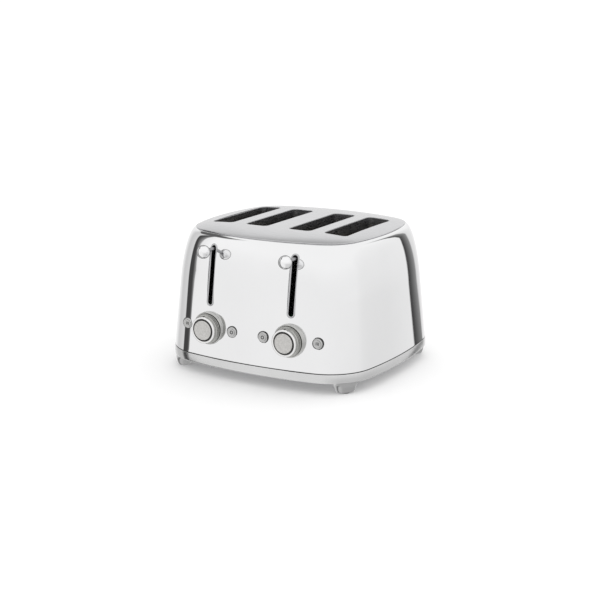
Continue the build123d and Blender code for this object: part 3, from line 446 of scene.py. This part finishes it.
def place_piece(made, material, body, slot, *stands_for):
    """Give a finished piece its material, its body and the CAD nodes it stands for. The slot argument is not
    used.
    """
    dress(made, material)
    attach(made, body)
    if stands_for:
        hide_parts(*stands_for)
    return made


# ------------------------------------------------------------------ CAD nodes that keep their shape
KEPT = {
    SHEET: ["bottom_plate", "front_chassis", "rear_chassis", "heat_shields"],
    WIRE: [f"bread_guide_{n}_{side}" for n in (1, 2, 3, 4) for side, _ in SIDES],
    MICA: ["mica_boards"],
    NICHROME: ["windings"],
    RUBBER: ["foot_pads", "cord_gland"],
    IRON: ["magnet_cores", "armature_left", "armature_right"],
    COPPER: ["magnet_coils"],
    BOARD: ["control_board"],
    PLASTIC: ["potentiometers", "tact_switches", "terminal_block", "cord_wrap"],
    LINER: ["base_screws", "guide_rods", "dial_shaft_left", "dial_shaft_right"],
}
for side, _ in SIDES:
    KEPT[SHEET] += [f"carriage_{side}", f"bread_shelves_{side}"]
    KEPT[BRUSHED] = KEPT.get(BRUSHED, []) + [f"crumb_tray_{side}"]
for material, names in KEPT.items():
    for name in names:
        node = nodes[name]
        dress(node, material)
        smooth(node, 30)

# ------------------------------------------------------------------ shell
LEVER_X = 65 * MM
DIAL_Z = 70.6 * MM
DIAL_HOLE = 23.1 * MM
BUTTON_OFFSET = 40 * MM
BUTTON_HOLE = 7.9 * MM
# Of the cord's gland at the back
GLAND_Z = 48 * MM
GLAND_HOLE = 5.9 * MM
CUT_BEYOND = 20 * MM
CUT_INSIDE = 60 * MM
bezel_boxes = {side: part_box(f"lever_bezel_{side}") for side, _ in SIDES}
bezel_low = bezel_boxes["right"][0].z
bezel_high = bezel_boxes["right"][1].z
bezel_width = bezel_boxes["right"][1].x - bezel_boxes["right"][0].x
button_xs = [sign * (LEVER_X + shift) for sign in (-1, 1) for shift in (-BUTTON_OFFSET, BUTTON_OFFSET)]


def even_places(count):
    """Shares of the shell's height, evenly spaced along its side."""
    fine = np.linspace(0, 1, 801)
    lean = np.array([lean_share(t) for t in fine])
    steps = np.hypot(np.diff(fine) * (shell_top - shell_bottom), np.diff(lean) * lean_y)
    length = np.concatenate([[0], np.cumsum(steps)])
    return np.interp(np.linspace(0, length[-1], count), length, fine)


places = even_places(56)
rings = [shell_ring(t) for t in places]
rim = 0.5 * MM
rings.append(shell_ring(1.0, -0.8 * rim, 0.0))
rings.append(shell_ring(1.0, -WALL, -0.5 * rim))
rings += [shell_ring(t, -WALL) for t in places[::-1][1:]]
rings.append(shell_ring(0.0, -0.5 * WALL, 0.0))
vertices, faces = rings_mesh(rings, closed=True)
shell = outward(new_object("shell_skin", vertices, faces))
front_far, front_near = -half_depth - CUT_BEYOND, -half_depth + CUT_INSIDE
cutters = []
for _, sign in SIDES:
    slot_plan = stadium(sign * LEVER_X, bezel_low, bezel_high, bezel_width)
    cutters.append(prism("cutter", slot_plan, front_far, front_near, "Y"))
    cutters.append(prism("cutter", circle(sign * LEVER_X, DIAL_Z, DIAL_HOLE, 96), front_far, front_near, "Y"))
for x in button_xs:
    cutters.append(prism("cutter", circle(x, DIAL_Z, BUTTON_HOLE), front_far, front_near, "Y"))
cutters.append(prism("cutter", circle(0, GLAND_Z, GLAND_HOLE), -front_near, -front_far, "Y"))
cut(shell, cutters)
place_piece(shell, POLISHED, "toaster", "polished_steel", "outer_shell")


# ------------------------------------------------------------------ top plate
PLATE_EDGE = 1.0 * MM
CROWN_RUN = 60 * MM
crown_rise = plate_high.z - shell_top - PLATE_EDGE


def crown_height(inset):
    """Rise of the crown above the shell's top at this distance in from the plate's edge."""
    u = min(max(inset / CROWN_RUN, 0), 1)
    return PLATE_EDGE + crown_rise * (1 - (1 - u) ** 2.1) ** 0.85


def crown_ring(inset, height):
    share = 1 - inset / plate_half_depth
    plan = outline(plate_half_width - inset, plate_half_depth - inset, BOW_TOP, CORNER_TOP * share)
    return np.column_stack([plan, np.full(len(plan), height)])


insets = [CROWN_RUN * (step / 26) ** 1.6 for step in range(27)]
rings = [
    crown_ring(0.8 * MM, shell_top),
    crown_ring(0.15 * MM, shell_top + 0.1 * MM),
    crown_ring(0, shell_top + 0.5 * MM),
]
rings += [crown_ring(inset, shell_top + crown_height(inset)) for inset in insets]
crown_middle = rings[-1]
for share in (0.8, 0.6, 0.4, 0.2):
    rings.append(crown_middle * (share, share, 1))
vertices, faces = rings_mesh(rings)
count = len(rings[0])
faces.append(tuple(range(count))[::-1])
faces.append(tuple(range(len(vertices) - count, len(vertices))))
plate = outward(new_object("crown_plate", vertices, faces))
UNDER_INSET = 3.5 * MM
CROWN_WALL = 1.6 * MM
under_rings = [crown_ring(UNDER_INSET, shell_top - 1 * MM)]
for inset in insets[:-4]:
    under_inset = inset + UNDER_INSET
    under_rings.append(crown_ring(under_inset, shell_top + crown_height(under_inset) - CROWN_WALL))
under_vertices, under_faces = rings_mesh(under_rings)
under_faces.append(tuple(range(count))[::-1])
under_faces.append(tuple(range(len(under_vertices) - count, len(under_vertices))))
under_solid = outward(new_object("under", under_vertices, under_faces))
cutters = [under_solid]
for x in SLOT_XS:
    plan = round_rectangle(x, 0, SLOT_WIDTH, SLOT_LENGTH, SLOT_CORNER)
    cutters.append(prism("cutter", plan, shell_top - 20 * MM, shell_top + 30 * MM))
cut(plate, cutters)
place_piece(plate, BRUSHED, "toaster", "brushed_steel", "top_plate")


def crown_at(x, y):
    """Height of the crown over a point of the plan, from the distance to the plate's nearest side."""
    cx, cy = corner_centre(plate_half_width, plate_half_depth, BOW_TOP, CORNER_TOP)
    side = plate_half_width - BOW_TOP + math.sqrt(BOW_TOP**2 - y**2) - abs(x)
    end = plate_half_depth - BOW_TOP + math.sqrt(BOW_TOP**2 - x**2) - abs(y)
    inset = min(side, end)
    if abs(x) > cx and abs(y) > cy:
        inset = min(inset, CORNER_TOP - math.hypot(abs(x) - cx, abs(y) - cy))
    return shell_top + crown_height(inset)


for number, x in enumerate(sorted(SLOT_XS), start=1):
    outer = round_rectangle(x, 0, SLOT_WIDTH - 0.1 * MM, SLOT_LENGTH - 0.1 * MM, SLOT_CORNER)
    inner = round_rectangle(x, 0, SLOT_WIDTH - 1.8 * MM, SLOT_LENGTH - 1.8 * MM, SLOT_CORNER - 0.8 * MM)
    middle = round_rectangle(x, 0, SLOT_WIDTH - 0.9 * MM, SLOT_LENGTH - 0.9 * MM, SLOT_CORNER - 0.4 * MM)
    over = [crown_at(px, py) for px, py in outer]
    rings = [
        np.array([(px, py, liner_low.z) for px, py in outer]),
        np.array([(px, py, h - 0.5 * MM) for (px, py), h in zip(outer, over)]),
        np.array([(px, py, h - 0.1 * MM) for (px, py), h in zip(middle, over)]),
        np.array([(px, py, h - 0.6 * MM) for (px, py), h in zip(inner, over)]),
        np.array([(px, py, liner_low.z) for px, py in inner]),
    ]
    vertices, faces = rings_mesh(rings, closed=True)
    liner = smooth(outward(new_object(f"slot_liner_{number}", vertices, faces)), 40)
    place_piece(liner, LINER, "toaster", "liner_steel", *(["slot_liners"] if number == 1 else []))


# ------------------------------------------------------------------ base ring
def base_ring_loop(grow, height):
    plan = outline(half_width + grow, half_depth + grow, BOW_LOW + grow, CORNER_LOW + grow)
    return np.column_stack([plan, np.full(len(plan), height)])


low, high = ring_low.z, ring_high.z
shoulder = shell_bottom - 1.2 * MM
ring_profile = [
    (-12.0, low), (-2.0, low), (-0.9, low + 0.3 * MM), (-0.25, low + 0.9 * MM), (0.0, low + 2.0 * MM),
    (0.0, shoulder - 0.7 * MM), (-0.1, shoulder - 0.35 * MM), (-0.4, shoulder - 0.05 * MM), (-0.9, shoulder),
    (-2.2, shoulder), (-2.2, high - 0.1 * MM), (-3.0, high), (-3.0, low + 1.2 * MM), (-12.0, low + 1.2 * MM),
]
rings = [base_ring_loop(ring_proud + grow * MM, height) for grow, height in ring_profile]
vertices, faces = rings_mesh(rings, closed=True)
band = outward(new_object("ring_band", vertices, faces))
smooth(band, 40)
# Mouths for the crumb trays at the back
TRAY_X = 63 * MM
TRAY_MOUTH_HALF = 46.5 * MM
TRAY_MOUTH_Y = (100 * MM, 190 * MM)
TRAY_MOUTH_Z = (18.6 * MM, 27.3 * MM)
cutters = []
for _, sign in SIDES:
    x_low, x_high = sign * TRAY_X - TRAY_MOUTH_HALF, sign * TRAY_X + TRAY_MOUTH_HALF
    y_low, y_high = TRAY_MOUTH_Y
    plan = [(x_low, y_low), (x_high, y_low), (x_high, y_high), (x_low, y_high)]
    cutters.append(prism("cutter", plan, *TRAY_MOUTH_Z))
cut(band, cutters)
place_piece(band, SATIN, "toaster", "satin_alloy", "base_ring")

# A near-black band fills the seam between the ring and the shell: painted shade in the groove
seam_low, seam_high = shoulder - 0.1 * MM, shell_bottom - 0.05 * MM
seam_shade_profile = [(-1.1, seam_low), (-1.1, seam_high), (-2.1, seam_high), (-2.1, seam_low)]
rings = [base_ring_loop(ring_proud + grow * MM, height) for grow, height in seam_shade_profile]
vertices, faces = rings_mesh(rings, closed=True)
seam_shade = smooth(outward(new_object("seam_painted_shade", vertices, faces)), 40)
place_piece(seam_shade, SHADE_AND_PRINT_BLACK, "toaster", "pad_rubber")

# ------------------------------------------------------------------ feet
# The feet take the darker copy of the satin alloy, painted shade
for name in ("foot_front_left", "foot_front_right", "foot_rear_left", "foot_rear_right"):
    dress(nodes[name], SHADED_FOOT_ALLOY)
    smooth(nodes[name], 35)

# ------------------------------------------------------------------ levers and their slots
BALL_RADIUS = 9.3
NECK_RADIUS = 3.0
BEZEL_RIM = 2.5 * MM
for side, sign in SIDES:
    low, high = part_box(f"lever_{side}")
    ball_y = low.y + BALL_RADIUS * MM
    centre = Vector((sign * LEVER_X, ball_y, (low.z + high.z) / 2))
    start = math.asin(NECK_RADIUS / BALL_RADIUS)
    profile = []
    for step in range(33):
        a = math.pi - (math.pi - start) * step / 32
        profile.append((BALL_RADIUS * math.sin(a), BALL_RADIUS * math.cos(a)))
    profile[0] = (0.0, -BALL_RADIUS)
    length = (high.y - ball_y) / MM
    neck_start = BALL_RADIUS * math.cos(start)
    points = profile[:-1] + [(NECK_RADIUS, neck_start), (0.0, neck_start)]
    made = lathe(f"lever_{side}_ball", [(r * MM, a * MM) for r, a in points], centre, (0, 1, 0), 96)
    place_piece(made, BALL, f"lift_{side}", "chrome", f"lever_{side}")
    stem = [
        (0.0, neck_start - 0.5), (NECK_RADIUS, neck_start - 0.5), (NECK_RADIUS, BALL_RADIUS + 1.6),
        (NECK_RADIUS - 0.3, BALL_RADIUS + 1.9), (2.5, BALL_RADIUS + 2.0), (2.5, length), (0.0, length),
    ]
    made = lathe(f"lever_{side}_stem", [(r * MM, a * MM) for r, a in stem], centre, (0, 1, 0), 48)
    place_piece(made, LINER, f"lift_{side}", "chrome")

    box_low, box_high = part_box(f"lever_bezel_{side}")
    x = sign * LEVER_X
    path = stadium(x, box_low.z, box_high.z, bezel_width, 20)
    inner = stadium(x, box_low.z + BEZEL_RIM, box_high.z - BEZEL_RIM, bezel_width - 2 * BEZEL_RIM, 20)
    shares = [
        (0.0, -1.4), (0.0, 0.3), (0.12, 0.85), (0.35, 1.15),
        (0.62, 1.15), (0.86, 0.8), (1.0, 0.2), (1.0, -1.4),
    ]
    rings = []
    for share, proud in shares:
        ring = []
        for (px, pz), (qx, qz) in zip(path, inner):
            rx, rz = mix(px, qx, share), mix(pz, qz, share)
            ring.append((rx, front_surface(rx, rz) - proud * MM, rz))
        rings.append(np.array(ring))
    vertices, faces = rings_mesh(rings, closed=True)
    made = smooth(outward(new_object(f"slot_bezel_{side}", vertices, faces)), 50)
    place_piece(made, BEZEL, "toaster", "chrome", f"lever_bezel_{side}")

# ------------------------------------------------------------------ dials
for side, sign in SIDES:
    x = sign * LEVER_X
    knob_low, knob_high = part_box(f"dial_knob_{side}")
    bezel_box_low, bezel_box_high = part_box(f"dial_bezel_{side}")
    stop_low, stop_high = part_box(f"stop_button_{side}")
    front = knob_low.y
    centre = Vector((x, front, DIAL_Z))
    depth = (knob_high.y - front) / MM
    collar_profile = [
        (15.9, 1.6), (15.9, 0.5), (16.4, 0.0), (18.0, 0.0), (18.7, 0.5), (18.7, 1.6),
    ]
    made = turned(f"dial_{side}_ring", collar_profile + [collar_profile[0]], centre, (0, 1, 0), 0.3, 128)
    place_piece(made, KNOB, f"dial_{side}", "satin_dial", f"dial_knob_{side}")
    # The near-black ring in the groove round the stop button is painted shade in the recess
    groove_profile = [(14.3, 6.0), (14.3, 0.45), (15.95, 0.45), (15.95, 6.0)]
    made = turned(f"dial_{side}_groove", groove_profile + [groove_profile[0]], centre, (0, 1, 0), 0.1, 128)
    place_piece(made, SHADE_AND_PRINT_BLACK, f"dial_{side}", "black_plastic")
    grip_profile = [
        (15.9, 6.0), (15.9, 1.5), (18.3, 1.5), (18.3, 2.0), (19.0, 2.3), (19.0, 3.6), (18.2, 3.9),
        (18.2, 4.5), (19.0, 4.8), (19.0, 5.4), (20.0, 5.7), (20.0, 6.8), (19.1, 7.1), (19.1, 7.7),
        (20.4, 8.0), (20.4, 8.9), (19.6, 9.2), (19.6, 9.7), (21.0, 10.0), (21.0, depth), (8.0, depth),
        (8.0, depth - 2.0), (4.0, depth - 2.0), (4.0, 6.0),
    ]
    made = turned(f"dial_{side}_grip", grip_profile + [grip_profile[0]], centre, (0, 1, 0), 0.25, 128)
    place_piece(made, GRIP, f"dial_{side}", "satin_dial")
    mark = round_rectangle(x, front + 4.6 * MM, 1.6 * MM, 5.6 * MM, 0.5 * MM, 4)
    made = prism(f"dial_{side}_mark", mark, DIAL_Z + 18.4 * MM, DIAL_Z + 19.3 * MM)
    place_piece(made, SHADE_AND_PRINT_BLACK, f"dial_{side}", "black_plastic")

    button_front = (stop_low.y - front) / MM
    stem_end = (stop_high.y - front) / MM
    cap = [
        (0.0, button_front + 0.5), (9.0, button_front + 0.4), (12.2, button_front + 0.1),
        (13.0, button_front), (13.6, button_front + 0.3), (14.0, button_front + 1.2), (14.0, 4.0),
        (2.1, 4.0), (2.1, stem_end), (0.0, stem_end),
    ]
    made = turned(f"stop_{side}_cap", cap, centre, (0, 1, 0), 0.4, 96)
    place_piece(made, DIAL, f"stop_{side}", "satin_dial", f"stop_button_{side}")

    bezel_front = (bezel_box_low.y - front) / MM
    bezel_back = (bezel_box_high.y - front) / MM - 12.0
    ring = [
        (4.06, bezel_front + 0.8), (20.6, bezel_front + 0.8), (21.4, bezel_front), (22.4, bezel_front),
        (23.0, bezel_front + 0.6), (23.0, bezel_back), (21.0, bezel_back), (21.0, bezel_front + 2.0),
        (4.06, bezel_front + 2.0),
    ]
    made = turned(f"dial_{side}_flange", ring + [ring[0]], centre, (0, 1, 0), 0.3, 128)
    place_piece(made, FLANGE, "toaster", "dial_ring", f"dial_bezel_{side}")

    for position, shift in (("outer", BUTTON_OFFSET), ("inner", -BUTTON_OFFSET)):
        name = f"button_{side}_{position}"
        low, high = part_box(name)
        button_x = sign * (LEVER_X + shift)
        centre_b = Vector((button_x, low.y, DIAL_Z))
        length = (high.y - low.y) / MM
        face = [
            (0.0, 0.45), (4.9, 0.45), (5.5, 0.1), (6.4, 0.0), (7.2, 0.5), (7.6, 1.4), (7.6, length - 12.0),
            (2.5, length - 12.0), (2.5, length), (0.0, length),
        ]
        made = turned(f"push_{side}_{position}_cap", face, centre_b, (0, 1, 0), 0.25, 64)
        place_piece(made, BUTTON, f"push_{side}_{position}", "chrome", name)
        # A near-black ring behind the gap round each button is painted shade in the gap
        gap_shade_ring = [(7.7, 1.7), (8.45, 1.7), (8.45, 3.4), (7.7, 3.4)]
        made = turned(f"push_{side}_{position}_washer", gap_shade_ring + [gap_shade_ring[0]], centre_b, (0, 1, 0), 0.1, 64)
        place_piece(made, SHADE_AND_PRINT_BLACK, "toaster", "black_plastic")
        # A plain sign on each face: a ring inside, three bars outside
        sign_name = f"push_{side}_{position}_sign"
        if position == "inner":
            hoop = [(1.5, 0.3), (2.6, 0.3), (2.6, 0.6), (1.5, 0.6)]
            made = turned(sign_name, hoop + [hoop[0]], centre_b, (0, 1, 0), 0.05, 32)
        else:
            bars = [stadium(button_x + step * MM, DIAL_Z - 2.2 * MM, DIAL_Z + 2.2 * MM, 0.9 * MM, 6)
                    for step in (-1.9, 0, 1.9)]
            parts = [prism("bar", bar, low.y + 0.3 * MM, low.y + 0.6 * MM, "Y") for bar in bars]
            made = joined(sign_name, parts)
        place_piece(made, SHADE_AND_PRINT_BLACK, f"push_{side}_{position}", "black_plastic")

# ------------------------------------------------------------------ springs
SPRING_TURNS = 12
for side, sign in SIDES:
    low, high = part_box(f"carriage_spring_{side}")
    axis_x, axis_y = (low.x + high.x) / 2, (low.y + high.y) / 2
    wire = 0.6 * MM
    radius = (high.x - low.x) / 2 - wire
    bottom, top = low.z + wire, high.z - wire
    steps = SPRING_TURNS * 20
    rings = []
    for step in range(steps + 1):
        share = step / steps
        a = 2 * math.pi * SPRING_TURNS * share
        spoke = Vector((math.cos(a), math.sin(a), 0))
        middle = Vector((axis_x, axis_y, mix(bottom, top, share))) + spoke * radius
        ring = []
        for corner in range(8):
            b = 2 * math.pi * corner / 8
            ring.append(middle + spoke * wire * math.cos(b) + Vector((0, 0, wire * math.sin(b))))
        rings.append(np.array(ring))
    vertices, faces = rings_mesh(rings)
    faces.append(tuple(range(8))[::-1])
    faces.append(tuple(range(len(vertices) - 8, len(vertices))))
    spring = smooth(outward(new_object(f"lift_spring_{side}", vertices, faces)), 50)
    dress(spring, WIRE)
    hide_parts(f"carriage_spring_{side}")
    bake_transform(spring)

# ------------------------------------------------------------------ floor
FLOOR_HALF = 30
PAPER_WHITE = 0.88
PAPER_GLOW = 0.14
corners = [(sx * FLOOR_HALF, sy * FLOOR_HALF, 0) for sx, sy in ((-1, -1), (1, -1), (1, 1), (-1, 1))]
floor = new_object("floor", corners, [(0, 1, 2, 3)])
paper, _, _, paper_shader = new_material("white_paper")
paper_shader.inputs["Base Color"].default_value = (PAPER_WHITE, PAPER_WHITE, PAPER_WHITE, 1)
paper_shader.inputs["Roughness"].default_value = 0.95
paper_shader.inputs["Specular IOR Level"].default_value = 0.0
paper_shader.inputs["Emission Color"].default_value = (1, 1, 1, 1)
paper_shader.inputs["Emission Strength"].default_value = PAPER_GLOW
dress(floor, paper)
# Polished pieces see the studio's own levels below the horizon, so the panels run straight down in them
floor.visible_glossy = False


# ------------------------------------------------------------------ studio
class Graph:
    """Arithmetic in a node tree."""

    def __init__(self, tree):
        self.nodes = tree.nodes
        self.links = tree.links

    def math(self, operation, first, second=None):
        node = self.nodes.new("ShaderNodeMath")
        node.operation = operation
        for socket, value in zip(node.inputs, (first, second)):
            if isinstance(value, (int, float)):
                socket.default_value = value
            elif value is not None:
                self.links.new(value, socket)
        return node.outputs[0]

    def ramp(self, value, start, end, low=0.0, high=1.0):
        """Smooth step from low at start to high at end."""
        node = self.nodes.new("ShaderNodeMapRange")
        node.interpolation_type = "SMOOTHSTEP"
        for key, number in (("From Min", start), ("From Max", end), ("To Min", low), ("To Max", high)):
            node.inputs[key].default_value = number
        self.links.new(value, node.inputs["Value"])
        return node.outputs["Result"]

    def band(self, value, low, high, soft_low, soft_high):
        """1 between low and high, falling smoothly to 0 over the soft widths."""
        rising = self.ramp(value, low - soft_low, low)
        falling = self.ramp(value, high + soft_high, high)
        return self.math("MULTIPLY", rising, falling)

    def fade(self, value, depth=1.0):
        """1 where the value is 0, and less by this depth where it is 1."""
        return self.math("SUBTRACT", 1.0, self.math("MULTIPLY", value, depth))

    def azimuth(self, vector):
        """Degrees round from the front (-Y) towards +X, and the vector's Z."""
        split = self.nodes.new("ShaderNodeSeparateXYZ")
        self.links.new(vector, split.inputs[0])
        toward_front = self.math("MULTIPLY", split.outputs["Y"], -1.0)
        angle = self.math("ARCTAN2", split.outputs["X"], toward_front)
        return self.math("MULTIPLY", angle, 180 / math.pi), split.outputs["Z"]


def grey_ramp(graph, angle, stops):
    """Level at an azimuth, from stops of (degrees, level)."""
    first, last = stops[0][0], stops[-1][0]
    share = graph.math("DIVIDE", graph.math("SUBTRACT", angle, first), last - first)
    node = graph.nodes.new("ShaderNodeValToRGB")
    elements = node.color_ramp.elements
    for element, (_, level), position in ((elements[0], stops[0], 0.0), (elements[1], stops[-1], 1.0)):
        element.position = position
        element.color = (level, level, level, 1)
    for degrees, level in stops[1:-1]:
        elements.new((degrees - first) / (last - first)).color = (level, level, level, 1)
    graph.links.new(share, node.inputs["Fac"])
    return node.outputs["Color"]


# Grey level of the studio round the toaster, at each azimuth in degrees. Only glossy rays see it.
# LEFT_EDGE and LEFT_INNER are the left panel's two edges, because they lean differently.
LEFT_PANEL = [
    (-136, 0.93), (-128, 0.93), (-120, 0.89), (-115, 0.83), (-110, 0.76), (-105, 0.69), (-100, 0.65),
    (-90, 0.68), (-80, 0.72), (-77.2, 0.70), (-76.2, 0.14), (-72, 0.06), (-62, 0.06), (-59, 0.12),
    (-56.5, 0.30), (-55.6, 0.90), (-54, 0.93),
]
LEFT_EDGE = LEFT_PANEL[:11] + [(-72, 0.0), (-54, 0.0)]
LEFT_INNER = [(-78, 0.0), (-72, 0.06)] + LEFT_PANEL[12:16] + [(-50, 1.0)]
RIGHT_PANEL = [
    (100, 0.93), (115, 0.90), (145, 0.90), (154, 0.92), (160, 0.93), (160.6, 0.05), (162, 0.08),
    (164, 0.15), (166, 0.23), (167.6, 0.32), (168.3, 0.78), (172, 0.84), (180, 0.92), (190, 0.93),
]
LEFT_SECTOR = (-140, -54, 4, 2)
LEFT_LEAN = 0.38
RIGHT_LEAN_FROM = 4.0
RIGHT_LEAN = 0.75
RIGHT_LEAN_BELOW = 0.12
HORIZON_LEVEL = 0.93
BAR_DEPTH = 0.88
BACK_BAR_DEPTH = 0.42
LOW_RIGHT_DEPTH = 0.25

world = bpy.data.worlds.new("studio")
bpy.context.scene.world = world
world.use_nodes = True
sky = Graph(world.node_tree)
azimuth, up = sky.azimuth(sky.nodes.new("ShaderNodeTexCoord").outputs["Generated"])
elevation = sky.math("MULTIPLY", sky.math("ARCSINE", up), 180 / math.pi)
turn_back = sky.math("FLOORED_MODULO", azimuth, 360.0)
above = sky.math("MAXIMUM", elevation, 0.0)
below = sky.math("MINIMUM", elevation, 0.0)
# The left panel's inner edge leans back as it rises, and a ceiling bar runs on from its top
leaning = sky.math("ADD", azimuth, sky.math("MULTIPLY", above, LEFT_LEAN))
outer_part = grey_ramp(sky, azimuth, LEFT_EDGE)
left_side = sky.math("MAXIMUM", outer_part, grey_ramp(sky, leaning, LEFT_INNER))
left_side = sky.math("MAXIMUM", left_side, sky.ramp(elevation, 37, 42))
bar = sky.math("MULTIPLY", sky.band(azimuth, -118, -68, 7, 16), sky.band(elevation, 38, 46, 4, 4))
left_side = sky.math("MINIMUM", left_side, sky.fade(bar, BAR_DEPTH))
outside_left = sky.fade(sky.band(azimuth, *LEFT_SECTOR))
# The right panel leans the other way, and a little back again below the horizon
past = sky.math("MAXIMUM", sky.math("SUBTRACT", elevation, RIGHT_LEAN_FROM), 0.0)
lean_right = sky.math("MULTIPLY", past, RIGHT_LEAN)
lean_back = sky.math("MULTIPLY", below, RIGHT_LEAN_BELOW)
right_turn = sky.math("ADD", turn_back, sky.math("ADD", lean_right, lean_back))
right_side = grey_ramp(sky, right_turn, RIGHT_PANEL)
right_side = sky.math("MAXIMUM", right_side, sky.ramp(elevation, 14, 36))
# Away from the panels the level rises a little from the horizon up
rising = sky.ramp(elevation, 0, 20, HORIZON_LEVEL, 1.0)
rest = sky.math("MINIMUM", rising, sky.math("ADD", right_side, sky.math("MULTIPLY", above, 0.004)))
# The ceiling bar runs on behind the toaster, and the crown's rolled front edge shows it
high_bar = sky.math("MULTIPLY", sky.band(turn_back, 203, 240, 15, 10), sky.band(elevation, 34, 60, 8, 10))
rest = sky.math("MINIMUM", rest, sky.fade(high_bar, BACK_BAR_DEPTH))
level = sky.math("MINIMUM", rest, sky.math("MAXIMUM", left_side, outside_left))
# Below the horizon the level sinks towards the right side and the back
low_right = sky.math("MULTIPLY", sky.band(turn_back, 60, 130, 60, 60), sky.ramp(elevation, 0, -24))
level = sky.math("MULTIPLY", level, sky.fade(low_right, LOW_RIGHT_DEPTH))
# Other rays meet plain white
glossy = sky.nodes.new("ShaderNodeLightPath").outputs["Is Glossy Ray"]
level = sky.math("MAXIMUM", level, sky.fade(glossy))
grey = sky.nodes.new("ShaderNodeCombineColor")
for channel in ("Red", "Green", "Blue"):
    sky.links.new(level, grey.inputs[channel])
background = sky.nodes["Background"]
sky.links.new(grey.outputs[0], background.inputs["Color"])
background.inputs["Strength"].default_value = 1.0

# One broad soft light from behind and above, so that the shadow falls towards the front
lamp = bpy.data.lights.new("back_softbox", "SUN")
lamp.energy = 0.36
lamp.angle = math.radians(60)
softbox = bpy.data.objects.new("back_softbox", lamp)
softbox.rotation_euler = Vector((-0.1, -0.6, -1.2)).to_track_quat("-Z", "Y").to_euler()
softbox.visible_glossy = False
bpy.context.scene.collection.objects.link(softbox)

# ------------------------------------------------------------------ camera
CAMERA_TURN = 30.245
CAMERA_RISE = 13.896
CAMERA_DISTANCE = 1.9014
CAMERA_LENS = 78.6318
SENSOR_WIDTH = 36.0
# The camera looks a hair beside and below this point
AIM = Vector((0, 0, 0.1))
AIM_TURN = 0.00114
AIM_DROP = 0.00649
turn, rise = math.radians(CAMERA_TURN), math.radians(CAMERA_RISE)
back = Vector((math.sin(turn) * math.cos(rise), -math.cos(turn) * math.cos(rise), math.sin(rise)))
look_turn = math.atan2(-back.y, -back.x) + AIM_TURN
look_rise = -rise - AIM_DROP
look = Vector((
    math.cos(look_turn) * math.cos(look_rise), math.sin(look_turn) * math.cos(look_rise), math.sin(look_rise)
))
camera_data = bpy.data.cameras.new("camera")
camera_data.sensor_width = SENSOR_WIDTH
camera_data.lens = CAMERA_LENS
camera = bpy.data.objects.new("camera", camera_data)
camera.location = AIM + back * CAMERA_DISTANCE
camera.rotation_euler = look.to_track_quat("-Z", "Y").to_euler()
bpy.context.scene.collection.objects.link(camera)
bpy.context.scene.camera = camera
bpy.context.scene.view_settings.view_transform = "Standard"

bpy.context.view_layer.update()
